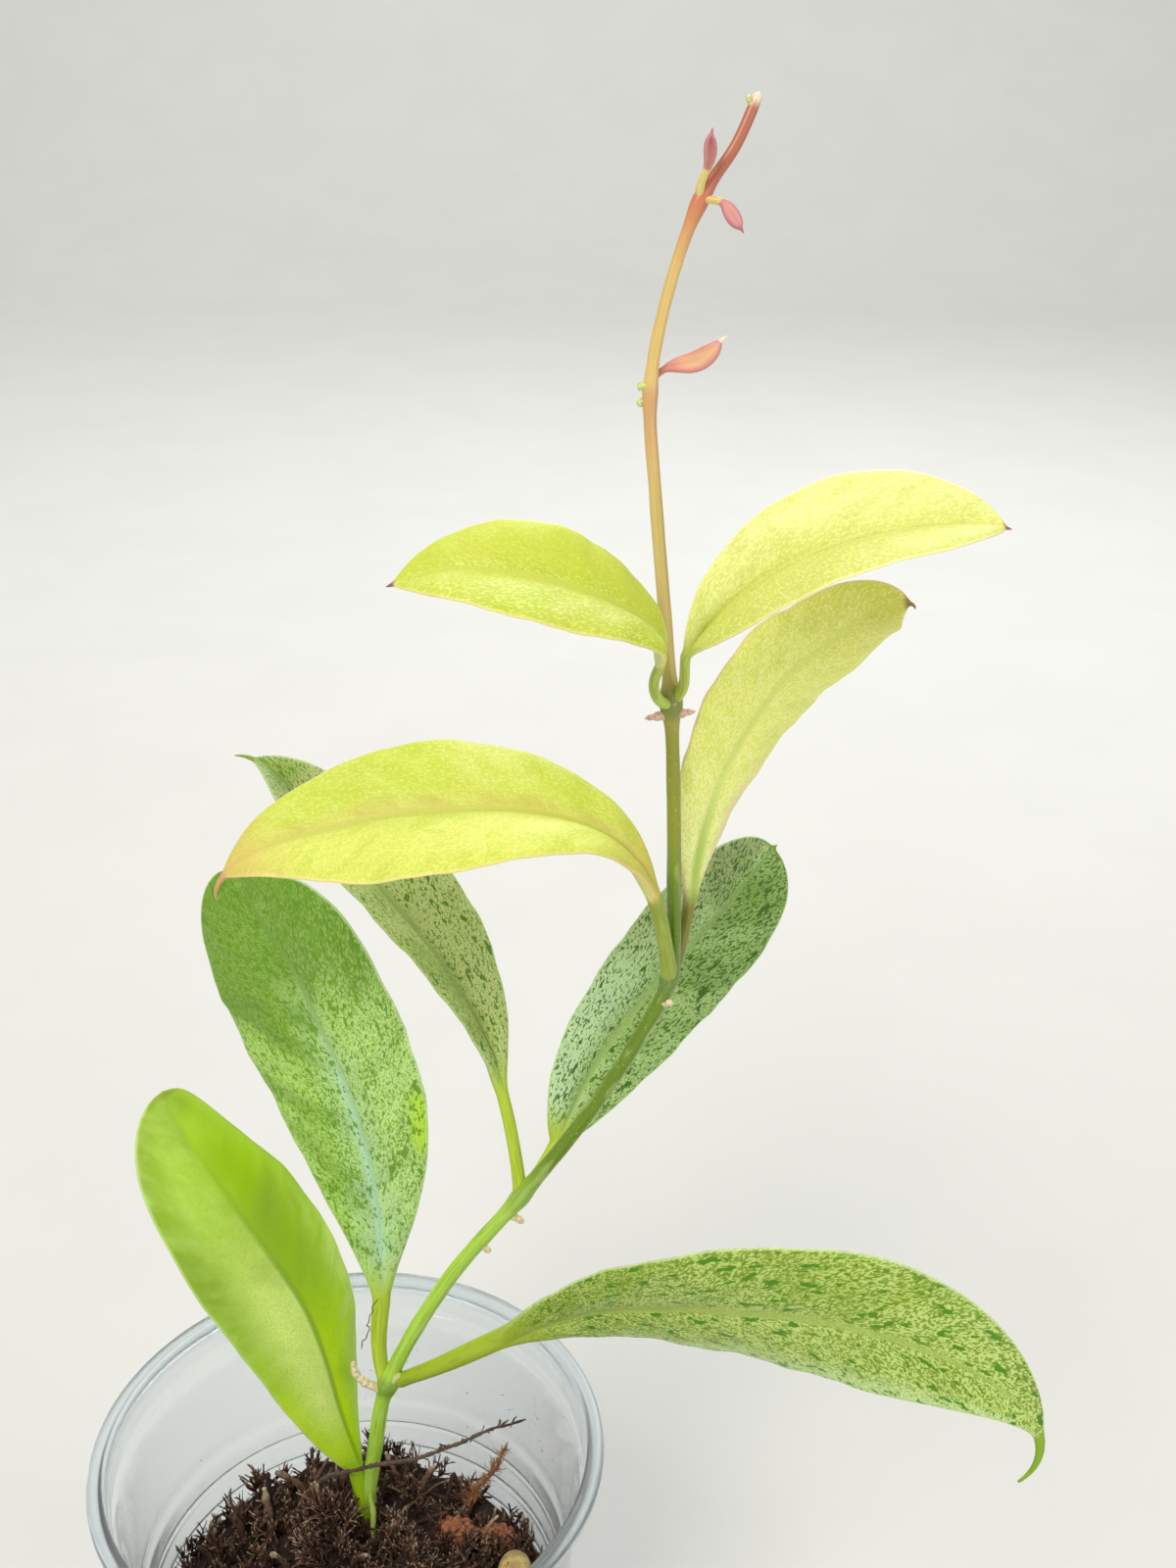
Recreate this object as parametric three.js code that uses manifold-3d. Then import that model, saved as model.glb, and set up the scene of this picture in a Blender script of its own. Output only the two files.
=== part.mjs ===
// A wax plant cutting in a clear nursery cup: one climbing stem with pairs of leathery leaves,
// young pink leaves at its top and short aerial roots at its joints, stood in a coarse fibre mix.
// Millimetres, +Z up. The origin is the middle of the cup's flat underside; -Y is the front.

import * as THREE from 'three';
import { mergeVertices } from 'three/addons/utils/BufferGeometryUtils.js';
import Module from 'manifold-3d';

const wasm = await Module();
wasm.setup();

// Driving dimensions

const CUP_HEIGHT = 72;
const RIM_RADIUS = 38;
const SHOULDER_RADIUS = 32.8;
const BASE_RADIUS = 26.5;
const WALL = 0.8;
const CUP_FACETS = 44;

const MIX_EDGE_HEIGHT = 37.5;
const MIX_MOUND_HEIGHT = 43;
const MIX_FIBRES = 100;
const FIBRE_RADIUS = 0.45;

const BLADE_THICKNESS = 1;
const BLADE_STEPS = 16;
const LEAF_LOOP = 12;

// Clearance between neighbouring pieces
const GAP = 0.3;

// Stem: the joints that carry leaves, and the points that its bends pass through between them

const JOINT = {
  base: [-0.5, 12.5, 43],
  first: [5, 9.5, 74.5],
  second: [26, 7.5, 111.5],
  third: [46.5, 5, 149.5],
  fourth: [46, 7.5, 188],
  fifth: [43, 13, 225.5],
  sixth: [48.5, 15, 247],
  tip: [55, 17, 258.5],
};
const STEM_PATH = [
  [-3.5, 14.5, 18],
  [-2, 13.5, 31],
  JOINT.base,
  [2, 11, 59],
  JOINT.first,
  [15, 8.5, 95.5],
  JOINT.second,
  [35, 6.5, 125.5],
  [43, 5.5, 140.5],
  JOINT.third,
  [46.8, 5.5, 163.5],
  JOINT.fourth,
  [45, 9, 200],
  [43.8, 11, 213],
  JOINT.fifth,
  [44.5, 14, 235],
  JOINT.sixth,
  [52.5, 16, 253],
  JOINT.tip,
];
const STEM_RADIUS_LOW = 1.25;
const STEM_RADIUS_TOP = 0.65;
const STEM_STEPS = 84;
const STEM_SIDES = 8;
const JOINT_SWELLING = 0.35;
const JOINT_SWELLING_LENGTH = 2.2;

// Leaves, from the lowest joint up. A leaf's midrib is a path that starts at its joint: turn is its
// heading in the XZ plane from +X towards +Z, and out its heading towards the front, both in degrees
// at the joint, the blade's foot, a third and two thirds along it, its end, and the end of the tail
// that it is drawn out into. roll turns the blade about its midrib, at its foot, middle and end, from
// facing the light. fold lifts both halves from the midrib, at the foot and the end, and curl bends
// them down again towards the margins. shape gives the outline: how bluntly it starts and ends.
// ripple is the height of the waves along the margins.

const LIGHT = new THREE.Vector3(0.1, -0.85, 0.52).normalize();
const DEGREE = Math.PI / 180;
const LEAF_CURL = 25;

const LEAVES = [
  {
    name: 'leaf_0', joint: 'base', colour: 0x8fbf2e,
    petiole: 11.5, blade: 80.5, tail: 1, width: 23.5, ripple: 0.3,
    turn: [91, 96, 97, 112, 97, 89], out: [7, 6, 9, 9, -4, 4],
    roll: [59, 40, 36], fold: [5, 4], shape: [0.8, 0.5], petioleRadius: 1.2, tailRadius: 0.6,
  },
  {
    name: 'leaf_1_left', joint: 'first', colour: 0x86a86a,
    petiole: 13, blade: 72.5, tail: 2, width: 28, ripple: 0.5,
    turn: [98, 90, 100, 110, 93, 77], out: [-17, -15, -8, -6, -14, -9],
    roll: [23, -29, -39], fold: [9, 16], shape: [1, 0.43], petioleRadius: 1, tailRadius: 0.5,
  },
  {
    name: 'leaf_1_right', joint: 'first', colour: 0x8fb070,
    petiole: 27, blade: 88.5, tail: 9, width: 22, ripple: 0.4,
    turn: [48, 44, 30, -4, -74, -128], out: [30, 18, 28, 15, 1, -9],
    roll: [42, 42, -5], fold: [21, 2], shape: [0.98, 0.9], petioleRadius: 1.05, tailRadius: 0.8,
  },
  {
    name: 'leaf_2_left', joint: 'second', colour: 0x7f9c66,
    petiole: 14.5, blade: 60.5, tail: 3, width: 21.5, ripple: 0.4,
    turn: [96, 105, 126, 135, 162, 191], out: [-22, -19, -14, -14, -18, -18],
    roll: [31, 46, 46], fold: [50, 31], shape: [1.18, 0.82], petioleRadius: 0.9, tailRadius: 0.5,
  },
  {
    name: 'leaf_2_right', joint: 'second', colour: 0x7f9c66,
    petiole: 9, blade: 54, tail: 1.5, width: 21.5, ripple: 0.4,
    turn: [32, 59, 54, 49, 40, 35], out: [-44, -30, -16, -8, -12, -13],
    roll: [14, 32, 25], fold: [28, 18], shape: [0.71, 0.45], petioleRadius: 0.9, tailRadius: 0.5,
  },
  {
    name: 'leaf_3_left', joint: 'third', colour: 0xdce06e,
    petiole: 14, blade: 61.5, tail: 4, width: 22, ripple: 0.4,
    turn: [96, 105, 166, 190, 228, 275], out: [21, 10, 8, 3, 5, -27],
    roll: [49, 36, 40], fold: [32, 14], shape: [1.3, 0.91], petioleRadius: 1, tailRadius: 0.6,
  },
  {
    name: 'leaf_3_right', joint: 'third', colour: 0xd3dc72,
    petiole: 9, blade: 56, tail: 3, width: 17.5, ripple: 0.4,
    turn: [66, 80, 69, 49, -1, -44], out: [-25, -21, -5, 8, 27, 13],
    roll: [35, 42, 51], fold: [7, 6], shape: [1.09, 0.67], petioleRadius: 0.8, tailRadius: 0.5,
  },
  {
    name: 'leaf_4_left', joint: 'fourth', colour: 0xd9e374,
    petiole: 11, blade: 41.5, tail: 1.2, width: 16.5, ripple: 0.25,
    turn: [122, 89, 144, 170, 202, 205], out: [41, 44, 24, 0, -10, -11],
    roll: [56, 34, 40], fold: [22, 26], shape: [1.13, 0.83], petioleRadius: 0.65, tailRadius: 0.4,
  },
  {
    name: 'leaf_4_right', joint: 'fourth', colour: 0xe0e68a,
    petiole: 10, blade: 44, tail: 1.2, width: 16, ripple: 0.25,
    turn: [90, 71, 39, 14, -15, -21], out: [35, 32, 11, 5, -10, -11],
    roll: [-1, -26, -34], fold: [45, 32], shape: [1.13, 0.72], petioleRadius: 0.65, tailRadius: 0.4,
  },
  {
    name: 'leaf_5_right', joint: 'fifth', colour: 0xd99a84,
    petiole: 3.5, blade: 8, tail: 1, width: 2.5, ripple: 0,
    turn: [92, 30, 11, 37, 47, 29], out: [-66, 3, 16, 14, -1, 1],
    roll: [1, 2, 1], fold: [24, 14], shape: [0.83, 0.65], petioleRadius: 0.5, tailRadius: 0.3,
  },
  {
    name: 'leaf_6_left', joint: 'sixth', colour: 0xc58a90,
    petiole: 4, blade: 4, tail: 0.6, width: 1.5, ripple: 0,
    turn: [101, 71, 85, 90, 80, 80], out: [24, 21, 13, -1, -1, 1],
    roll: [0, 0, -1], fold: [25, 15], shape: [0.83, 0.66], petioleRadius: 0.5, tailRadius: 0.3,
  },
  {
    name: 'leaf_6_right', joint: 'sixth', colour: 0xc58a90,
    petiole: 2.5, blade: 4, tail: 0.6, width: 2, ripple: 0,
    turn: [16, -20, -56, -54, -52, -60], out: [27, 27, 25, 4, -1, 2],
    roll: [0, 1, 1], fold: [25, 14], shape: [0.82, 0.68], petioleRadius: 0.5, tailRadius: 0.3,
  },
];

// Aerial roots, root stubs and buds: a short path out of the stem, with its radius at both ends

const SHOOTS = [
  {
    name: 'aerial_root', colour: 0xd8c9a8, radii: [0.8, 0.5],
    path: [[4.6, 9.4, 73.4], [2.2, 9, 74.6], [0.4, 8.8, 76.8], [-0.1, 8.8, 79.4]],
  },
  { name: 'bud_1', colour: 0xb9b46a, radii: [0.7, 0.4], path: [[5.2, 9.2, 75], [6.3, 8, 76.9]] },
  { name: 'root_stub_2_upper', colour: 0xd8c9a8, radii: [0.6, 0.5], path: [[23.8, 7.6, 108.6], [26.4, 7.4, 106.9]] },
  { name: 'root_stub_2_lower', colour: 0xd8c9a8, radii: [0.6, 0.45], path: [[19.6, 8, 103], [21.4, 7.6, 101.3]] },
  { name: 'root_stub_3', colour: 0xd9b79c, radii: [0.6, 0.45], path: [[45, 5, 145.6], [46.9, 4, 146.2]] },
  { name: 'root_stub_4_left', colour: 0xc49a88, radii: [0.75, 0.45], path: [[45.8, 7.4, 186.4], [42.4, 6.9, 186]] },
  { name: 'root_stub_4_right', colour: 0xc49a88, radii: [0.75, 0.45], path: [[46.2, 7.4, 186.4], [49.4, 6.9, 187]] },
  { name: 'bud_5_upper', colour: 0xc9b07c, radii: [0.65, 0.5], path: [[43, 13, 226], [41.5, 12.8, 226.3]] },
  { name: 'bud_5_lower', colour: 0xc9a07c, radii: [0.6, 0.5], path: [[43, 13, 224.6], [41.4, 12.8, 224.2]] },
  { name: 'bud_tip', colour: 0xd9a68c, radii: [0.5, 0.4], path: [[54.2, 16.8, 256.9], [53.6, 16, 258.2]] },
];

// Things in and on the mix

const SPROUT = {
  path: [[1.6, 10, 36], [1.7, 9.8, 42], [1.9, 9.7, 46], [2.3, 9.8, 50]],
  radii: [0.7, 1, 1.15, 0.4],
};
const LONG_FIBRE = {
  path: [[-9, 17, 38], [-6.5, 12.5, 50], [-3, 7.4, 56.5], [2, 6.8, 59], [10.4, 9.4, 59], [19.5, 14, 60], [25.6, 18.6, 58]],
  radii: [0.55, 0.6, 0.6, 0.55, 0.55, 0.45, 0.4],
};
const TUFT = {
  path: [[15, 20.5, 31], [16, 20, 38.8], [19.5, 19.6, 45], [22.6, 19.4, 52.4]],
  radii: [1.3, 1.6, 1.1, 0.4],
};
const CHIPS = [
  { name: 'clay_chip_left', centre: [13.8, 13, 39.5], size: [3.4, 2.8, 2.4], colour: 0x7d4630, seed: 3 },
  { name: 'clay_chip_right', centre: [20.6, 12, 39.2], size: [2.8, 2.6, 2.2], colour: 0x8a4a30, seed: 8 },
  { name: 'pebble', centre: [24, 4.6, 40], size: [2.5, 3, 2.2], colour: 0xa08a5c, seed: 21 },
];

// Small helpers

function seededRandom(seed) {
  let state = seed;
  return () => {
    state = (state + 0x6d2b79f5) | 0;
    let mixed = Math.imul(state ^ (state >>> 15), 1 | state);
    mixed = (mixed + Math.imul(mixed ^ (mixed >>> 7), 61 | mixed)) ^ mixed;
    return ((mixed ^ (mixed >>> 14)) >>> 0) / 4294967296;
  };
}

function clamp01(value) {
  return Math.min(1, Math.max(0, value));
}

function smooth(value) {
  const t = clamp01(value);
  return t * t * (3 - 2 * t);
}

// A smooth curve through values at knots (a cubic between each two), read at t
function through(knots, values, t) {
  const last = knots.length - 1;
  const slope = (i) => (values[i + 1] - values[i]) / (knots[i + 1] - knots[i]);
  const tangent = (i) => {
    if (i === 0) return slope(0);
    if (i === last) return slope(last - 1);
    const before = knots[i] - knots[i - 1];
    const after = knots[i + 1] - knots[i];
    return (slope(i - 1) * after + slope(i) * before) / (before + after);
  };
  let i = 0;
  while (i < last - 1 && t >= knots[i + 1]) i += 1;
  const h = knots[i + 1] - knots[i];
  const s = (t - knots[i]) / h;
  const rise = s * s * (3 - 2 * s);
  const leave = s * (1 - s) * (1 - s);
  const arrive = s * s * (s - 1);
  return values[i] * (1 - rise) + values[i + 1] * rise + h * (tangent(i) * leave + tangent(i + 1) * arrive);
}

// A closed skin over rows of points, each row a loop, anticlockwise seen from the last row. The first
// and last rows close to a point. The two halves of each loop split their squares alike, so that the
// two faces of a thin blade stay parallel.
function skin(rows) {
  const count = rows[0].length;
  const positions = rows.flat().flatMap((point) => point.toArray());
  const index = [];
  for (let i = 0; i < rows.length - 1; i += 1) {
    for (let k = 0; k < count; k += 1) {
      const next = (k + 1) % count;
      const a = i * count + k;
      const b = i * count + next;
      const c = (i + 1) * count + next;
      const d = (i + 1) * count + k;
      if (k < count / 2) index.push(a, b, c, a, c, d);
      else index.push(a, b, d, b, c, d);
    }
  }
  const geometry = new THREE.BufferGeometry();
  geometry.setAttribute('position', new THREE.Float32BufferAttribute(positions, 3));
  geometry.setIndex(index);
  return geometry;
}

function toSolid(geometry) {
  const bare = geometry.clone();
  bare.deleteAttribute('normal');
  bare.deleteAttribute('uv');
  const merged = mergeVertices(bare, 1e-4);
  const corners = merged.index.array;
  const triangles = [];
  for (let i = 0; i < corners.length; i += 3) {
    const [a, b, c] = corners.slice(i, i + 3);
    if (a !== b && b !== c && c !== a) triangles.push(a, b, c);
  }
  return new wasm.Manifold(new wasm.Mesh({
    numProp: 3,
    vertProperties: new Float32Array(merged.attributes.position.array),
    triVerts: Uint32Array.from(triangles),
  }));
}

// The largest body of a solid, with edges shorter than its detail merged
function mainBody(solid, detail = 0.02) {
  const bodies = solid.simplify(detail).decompose();
  return bodies.reduce((best, body) => (body.volume() > best.volume() ? body : best));
}

function toGeometry(solid) {
  const mesh = solid.getMesh();
  const geometry = new THREE.BufferGeometry();
  geometry.setAttribute('position', new THREE.BufferAttribute(new Float32Array(mesh.vertProperties), 3));
  geometry.setIndex(new THREE.BufferAttribute(new Uint32Array(mesh.triVerts), 1));
  return geometry;
}

// A closed tube with rounded ends along a path, its radius a function of the share of the path walked
function tube(path, radiusAt, sides, steps) {
  const curve = new THREE.CatmullRomCurve3(path.map((p) => new THREE.Vector3(...p)), false, 'centripetal');
  const frames = curve.computeFrenetFrames(steps);
  const rows = [];
  const ring = (i, radius, along) => {
    const share = i / steps;
    const centre = curve.getPointAt(share).addScaledVector(frames.tangents[i], along);
    const row = [];
    for (let k = 0; k < sides; k += 1) {
      const angle = (2 * Math.PI * k) / sides;
      row.push(centre.clone()
        .addScaledVector(frames.normals[i], radius * Math.cos(angle))
        .addScaledVector(frames.binormals[i], radius * Math.sin(angle)));
    }
    rows.push(row);
  };
  const first = radiusAt(0);
  const last = radiusAt(1);
  ring(0, 0, -0.5 * first);
  for (let i = 0; i <= steps; i += 1) ring(i, radiusAt(i / steps), 0);
  ring(steps, 0.6 * last, 0.4 * last);
  ring(steps, 0, 0.55 * last);
  return skin(rows);
}

function evenRadii(radii, grow = 0) {
  const knots = radii.map((_, i) => i / (radii.length - 1));
  return (share) => through(knots, radii, share) + grow;
}

// Cup: thin clear plastic, turned round its axis

const LEDGE_HEIGHT = CUP_HEIGHT - 6.5;
const SHOULDER_HEIGHT = 49;
const LEDGE_RADIUS = 34.9;
const COLLAR_RADIUS = 35.8;
const HEEL = 1.5;

function outerRadius(z) {
  const heights = [0, SHOULDER_HEIGHT - 1.5, SHOULDER_HEIGHT, LEDGE_HEIGHT];
  const radii = [BASE_RADIUS, SHOULDER_RADIUS - 0.5, SHOULDER_RADIUS, LEDGE_RADIUS];
  let i = 0;
  while (i < 2 && z >= heights[i + 1]) i += 1;
  return radii[i] + ((radii[i + 1] - radii[i]) * (z - heights[i])) / (heights[i + 1] - heights[i]);
}

function turned(profile) {
  const points = profile.map(([radius, z]) => new THREE.Vector2(radius, z));
  return new THREE.LatheGeometry(points, CUP_FACETS).rotateX(Math.PI / 2);
}

function cupGeometry() {
  const top = CUP_HEIGHT;
  const lip = RIM_RADIUS - 2.6;
  const profile = [
    [0, 0],
    [BASE_RADIUS - HEEL, 0],
    [BASE_RADIUS - 0.3, 0.5],
    [outerRadius(HEEL), HEEL],
    [outerRadius(SHOULDER_HEIGHT - 1.5), SHOULDER_HEIGHT - 1.5],
    [SHOULDER_RADIUS + 0.25, SHOULDER_HEIGHT - 0.4],
    [SHOULDER_RADIUS + 0.25, SHOULDER_HEIGHT + 0.4],
    [LEDGE_RADIUS, LEDGE_HEIGHT],
    [COLLAR_RADIUS, LEDGE_HEIGHT + 0.5],
    [COLLAR_RADIUS + 0.4, top - 2.2],
    [RIM_RADIUS - 0.3, top - 2.2],
    [RIM_RADIUS, top - 1.6],
    [RIM_RADIUS, top - 0.5],
    [RIM_RADIUS - 0.6, top],
    [lip + 0.3, top],
    [lip, top - 0.5],
    [COLLAR_RADIUS - WALL, LEDGE_HEIGHT + 1],
    [LEDGE_RADIUS - WALL, LEDGE_HEIGHT + 0.4],
    [SHOULDER_RADIUS + 0.25 - WALL, SHOULDER_HEIGHT + 0.4],
    [SHOULDER_RADIUS + 0.25 - WALL, SHOULDER_HEIGHT - 0.4],
    [outerRadius(SHOULDER_HEIGHT - 1.5) - WALL, SHOULDER_HEIGHT - 1.5],
    [outerRadius(WALL + 1) - WALL, WALL + 1],
    [BASE_RADIUS - WALL - 1, WALL],
    [0, WALL],
  ];
  return turned(profile);
}

// The room inside the cup, a clearance away from its wall and floor
function roomInCup() {
  const inset = WALL + GAP;
  return toSolid(turned([
    [0, inset],
    [BASE_RADIUS - inset - 1.2, inset],
    [outerRadius(inset + 1.2) - inset, inset + 1.2],
    [outerRadius(SHOULDER_HEIGHT - 1.5) - inset, SHOULDER_HEIGHT - 1.5],
    [outerRadius(LEDGE_HEIGHT) - inset - 0.4, LEDGE_HEIGHT],
    [0, LEDGE_HEIGHT],
  ]));
}

// Stem

function stemRadius(share) {
  return STEM_RADIUS_LOW + (STEM_RADIUS_TOP - STEM_RADIUS_LOW) * share ** 1.3;
}

function stemTube(grow = 0) {
  const curve = new THREE.CatmullRomCurve3(STEM_PATH.map((p) => new THREE.Vector3(...p)), false, 'centripetal');
  const joints = Object.values(JOINT).slice(1, -1).map((p) => new THREE.Vector3(...p));
  const radiusAt = (share) => {
    const here = curve.getPointAt(share);
    const nearest = Math.min(...joints.map((joint) => joint.distanceTo(here)));
    const swelling = JOINT_SWELLING * Math.exp(-((nearest / JOINT_SWELLING_LENGTH) ** 2));
    return stemRadius(share) + swelling + grow;
  };
  return tube(STEM_PATH, radiusAt, STEM_SIDES, STEM_STEPS);
}

// Leaf: a round stalk that flattens into a folded, rippled blade along one curved midrib

function leafStations(leaf) {
  const { petiole, blade, tail } = leaf;
  const stalkSteps = petiole > 6 ? 4 : 2;
  const tailSteps = tail > 2.5 ? 3 : 1;
  const bladeSteps = blade > 20 ? BLADE_STEPS : 6;
  const stations = [];
  for (let i = 0; i < stalkSteps; i += 1) stations.push((petiole * i) / stalkSteps);
  for (let i = 0; i < bladeSteps; i += 1) stations.push(petiole + (blade * i) / bladeSteps);
  for (let i = 0; i <= tailSteps; i += 1) stations.push(petiole + blade + (tail * i) / tailSteps);
  return stations;
}

function leafGeometry(leaf, grow = 0) {
  const { petiole, blade, tail } = leaf;
  const knots = [0, petiole, petiole + blade / 3, petiole + (2 * blade) / 3, petiole + blade, petiole + blade + tail];
  const heading = (s) => {
    const turn = through(knots, leaf.turn, s) * DEGREE;
    const out = through(knots, leaf.out, s) * DEGREE;
    return new THREE.Vector3(Math.cos(out) * Math.cos(turn), -Math.sin(out), Math.cos(out) * Math.sin(turn));
  };
  const [blunt, taper] = leaf.shape;
  const widest = blunt / (blunt + taper);
  const outline = (u) => (u ** blunt * (1 - u) ** taper) / (widest ** blunt * (1 - widest) ** taper);
  const place = new THREE.Vector3(...JOINT[leaf.joint]);
  const rows = [];
  let walked = 0;

  const addRow = (s, scale) => {
    const steps = Math.max(1, Math.ceil((s - walked) / 0.5));
    const stride = (s - walked) / steps;
    for (let i = 0; i < steps; i += 1) place.addScaledVector(heading(walked + (i + 0.5) * stride), stride);
    walked = s;
    const along = heading(s);
    const u = (s - petiole) / blade;
    const share = clamp01(u);
    const facing = LIGHT.clone().addScaledVector(along, -LIGHT.dot(along)).normalize();
    const roll = through([0, 0.5, 1], leaf.roll, share) * DEGREE;
    const up = facing.clone().multiplyScalar(Math.cos(roll))
      .addScaledVector(along.clone().cross(facing), Math.sin(roll));
    const side = along.clone().cross(up);
    let stalk = leaf.petioleRadius + (leaf.tailRadius - leaf.petioleRadius) * smooth(share * 2.2);
    if (u < 0) stalk *= 1 + 0.3 * Math.exp(-s / 2);
    if (u > 1) stalk *= 1 - 0.6 * clamp01((s - petiole - blade) / tail);
    const half = Math.hypot((leaf.width / 2) * outline(share), stalk) + grow;
    const opened = smooth((u + 0.02) / 0.12);
    const fold = (leaf.fold[0] + (leaf.fold[1] - leaf.fold[0]) * share) * DEGREE * opened;
    const curl = LEAF_CURL * DEGREE * opened;
    const flatness = smooth(share / 0.25) * (1 - smooth((share - 0.85) / 0.15));
    const wave = leaf.ripple * 4 * share * (1 - share);
    const row = [];
    for (let k = 0; k < LEAF_LOOP; k += 1) {
      const angle = (2 * Math.PI * k) / LEAF_LOOP;
      const v = -Math.cos(angle);
      const upper = Math.sign(Math.round(Math.sin(angle) * 1e6));
      const lean = fold - (curl * Math.abs(v)) / 2;
      const tilt = (fold - curl * Math.abs(v)) * Math.sign(Math.round(v * 1e6));
      const round = stalk * Math.sqrt(1 - v * v);
      const flat = (BLADE_THICKNESS / 2) * Math.sqrt(1 - v ** 4);
      const thick = (round + (flat - round) * flatness + grow) * upper;
      const lift = wave * v * v * Math.sin(share * 34 + (v > 0 ? 1.9 : 0));
      row.push(place.clone()
        .addScaledVector(side, scale * (half * v * Math.cos(lean) - thick * Math.sin(tilt)))
        .addScaledVector(up, scale * (half * Math.abs(v) * Math.sin(lean) + thick * Math.cos(tilt) + lift)));
    }
    rows.push(row);
  };

  const stations = leafStations(leaf);
  addRow(stations[0], 0);
  stations.forEach((s) => addRow(s, 1));
  addRow(stations.at(-1), 0);
  return skin(rows);
}

// Chips and pebble: a ball pushed in and out by a few seeded waves

function lump(chip, grow = 0) {
  const random = seededRandom(chip.seed);
  const waves = Array.from({ length: 5 }, () => new THREE.Vector3(random() - 0.5, random() - 0.5, random() - 0.5)
    .multiplyScalar(5));
  const geometry = mergeVertices(new THREE.IcosahedronGeometry(1, 2).deleteAttribute('normal').deleteAttribute('uv'));
  const spots = geometry.attributes.position;
  const spot = new THREE.Vector3();
  for (let i = 0; i < spots.count; i += 1) {
    spot.fromBufferAttribute(spots, i);
    const push = waves.reduce((sum, wave, n) => sum + Math.sin(wave.dot(spot) + n) / 5, 0);
    spot.multiplyScalar(1 + 0.22 * push);
    spots.setXYZ(
      i,
      chip.centre[0] + spot.x * (chip.size[0] + grow),
      chip.centre[1] + spot.y * (chip.size[1] + grow),
      chip.centre[2] + spot.z * (chip.size[2] + grow),
    );
  }
  return geometry;
}

// Potting mix: a body that fills the cup to an uneven mound, with fibres standing and lying in it

function mixHeight(x, y) {
  const mound = Math.exp(-((x + 3) ** 2 + (y - 9) ** 2) / 420);
  const bumps = Math.sin(x * 0.52 + 1) * Math.cos(y * 0.47) + 0.5 * Math.sin(x * 1.1 - y * 0.9);
  return MIX_EDGE_HEIGHT + (MIX_MOUND_HEIGHT - MIX_EDGE_HEIGHT) * mound + 0.7 * bumps;
}

function mixBody() {
  const rings = [0.86, 0.68, 0.5, 0.32, 0.16];
  const bottom = WALL + GAP;
  const rows = [];
  const loop = (radius, heightAt) => {
    const row = [];
    for (let k = 0; k < CUP_FACETS; k += 1) {
      const angle = (2 * Math.PI * k) / CUP_FACETS;
      const x = radius * Math.cos(angle);
      const y = radius * Math.sin(angle);
      row.push(new THREE.Vector3(x, y, heightAt(x, y)));
    }
    rows.push(row);
  };
  const wide = SHOULDER_RADIUS;
  loop(0, () => bottom);
  loop(wide, () => bottom);
  loop(wide, mixHeight);
  rings.forEach((share) => loop(wide * share, mixHeight));
  loop(0, mixHeight);
  return toSolid(skin(rows));
}

function mixFibre(random) {
  const angle = 2 * Math.PI * random();
  const radius = (SHOULDER_RADIUS - 2) * Math.sqrt(random());
  const x = radius * Math.cos(angle);
  const y = radius * Math.sin(angle);
  const standing = x < 4 && y > 0 && random() < 0.7;
  const azimuth = 2 * Math.PI * random();
  const climb = (standing ? 35 + 45 * random() : 5 + 35 * random()) * DEGREE;
  const length = (standing ? 8 : 7) + 5 * random();
  const start = new THREE.Vector3(x, y, mixHeight(x, y) - 1.6);
  const ahead = new THREE.Vector3(
    Math.cos(climb) * Math.cos(azimuth),
    Math.cos(climb) * Math.sin(azimuth),
    Math.sin(climb),
  );
  const bend = new THREE.Vector3(random() - 0.5, random() - 0.5, random() - 0.7).multiplyScalar(length * 0.3);
  const middle = start.clone().addScaledVector(ahead, length * 0.5).sub(bend.clone().multiplyScalar(0.4));
  const end = start.clone().addScaledVector(ahead, length).add(bend);
  const path = [start.toArray(), middle.toArray(), end.toArray()];
  return toSolid(tube(path, (share) => FIBRE_RADIUS * (1.35 - 0.5 * share), 3, 2));
}

function mixSolid(neighbours) {
  const random = seededRandom(11);
  const fibres = Array.from({ length: MIX_FIBRES }, () => mixFibre(random));
  const whole = wasm.Manifold.union([mixBody(), ...fibres]).intersect(roomInCup());
  return mainBody(whole.subtract(wasm.Manifold.union(neighbours)), 0.06);
}

// Assembly

const plant = new THREE.Group();

function add(name, geometry, colour, roughness = 0.6, extra = {}) {
  const material = new THREE.MeshStandardMaterial({ color: colour, roughness, metalness: 0, ...extra });
  geometry.computeVertexNormals();
  const mesh = new THREE.Mesh(geometry, material);
  mesh.name = name;
  plant.add(mesh);
}

const stemSpace = toSolid(stemTube(GAP));
const shootSolids = SHOOTS.map((shoot) => ({
  ...shoot,
  solid: mainBody(toSolid(tube(shoot.path, evenRadii(shoot.radii), 7, 4)).subtract(stemSpace)),
  space: toSolid(tube(shoot.path, evenRadii(shoot.radii, GAP), 7, 4)),
}));
const shootSpace = wasm.Manifold.union(shootSolids.map((shoot) => shoot.space));

add('cup', cupGeometry(), 0xdfe6ea, 0.2, { transparent: true, opacity: 0.3 });
add('stem', stemTube(), 0x7d9a45, 0.5);

const taken = [stemSpace, shootSpace];
LEAVES.forEach((leaf) => {
  const solid = mainBody(toSolid(leafGeometry(leaf)).subtract(wasm.Manifold.union(taken)));
  taken.push(toSolid(leafGeometry(leaf, GAP)));
  add(leaf.name, toGeometry(solid), leaf.colour, 0.5);
});

shootSolids.forEach((shoot) => add(shoot.name, toGeometry(shoot.solid), shoot.colour, 0.7));

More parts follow.
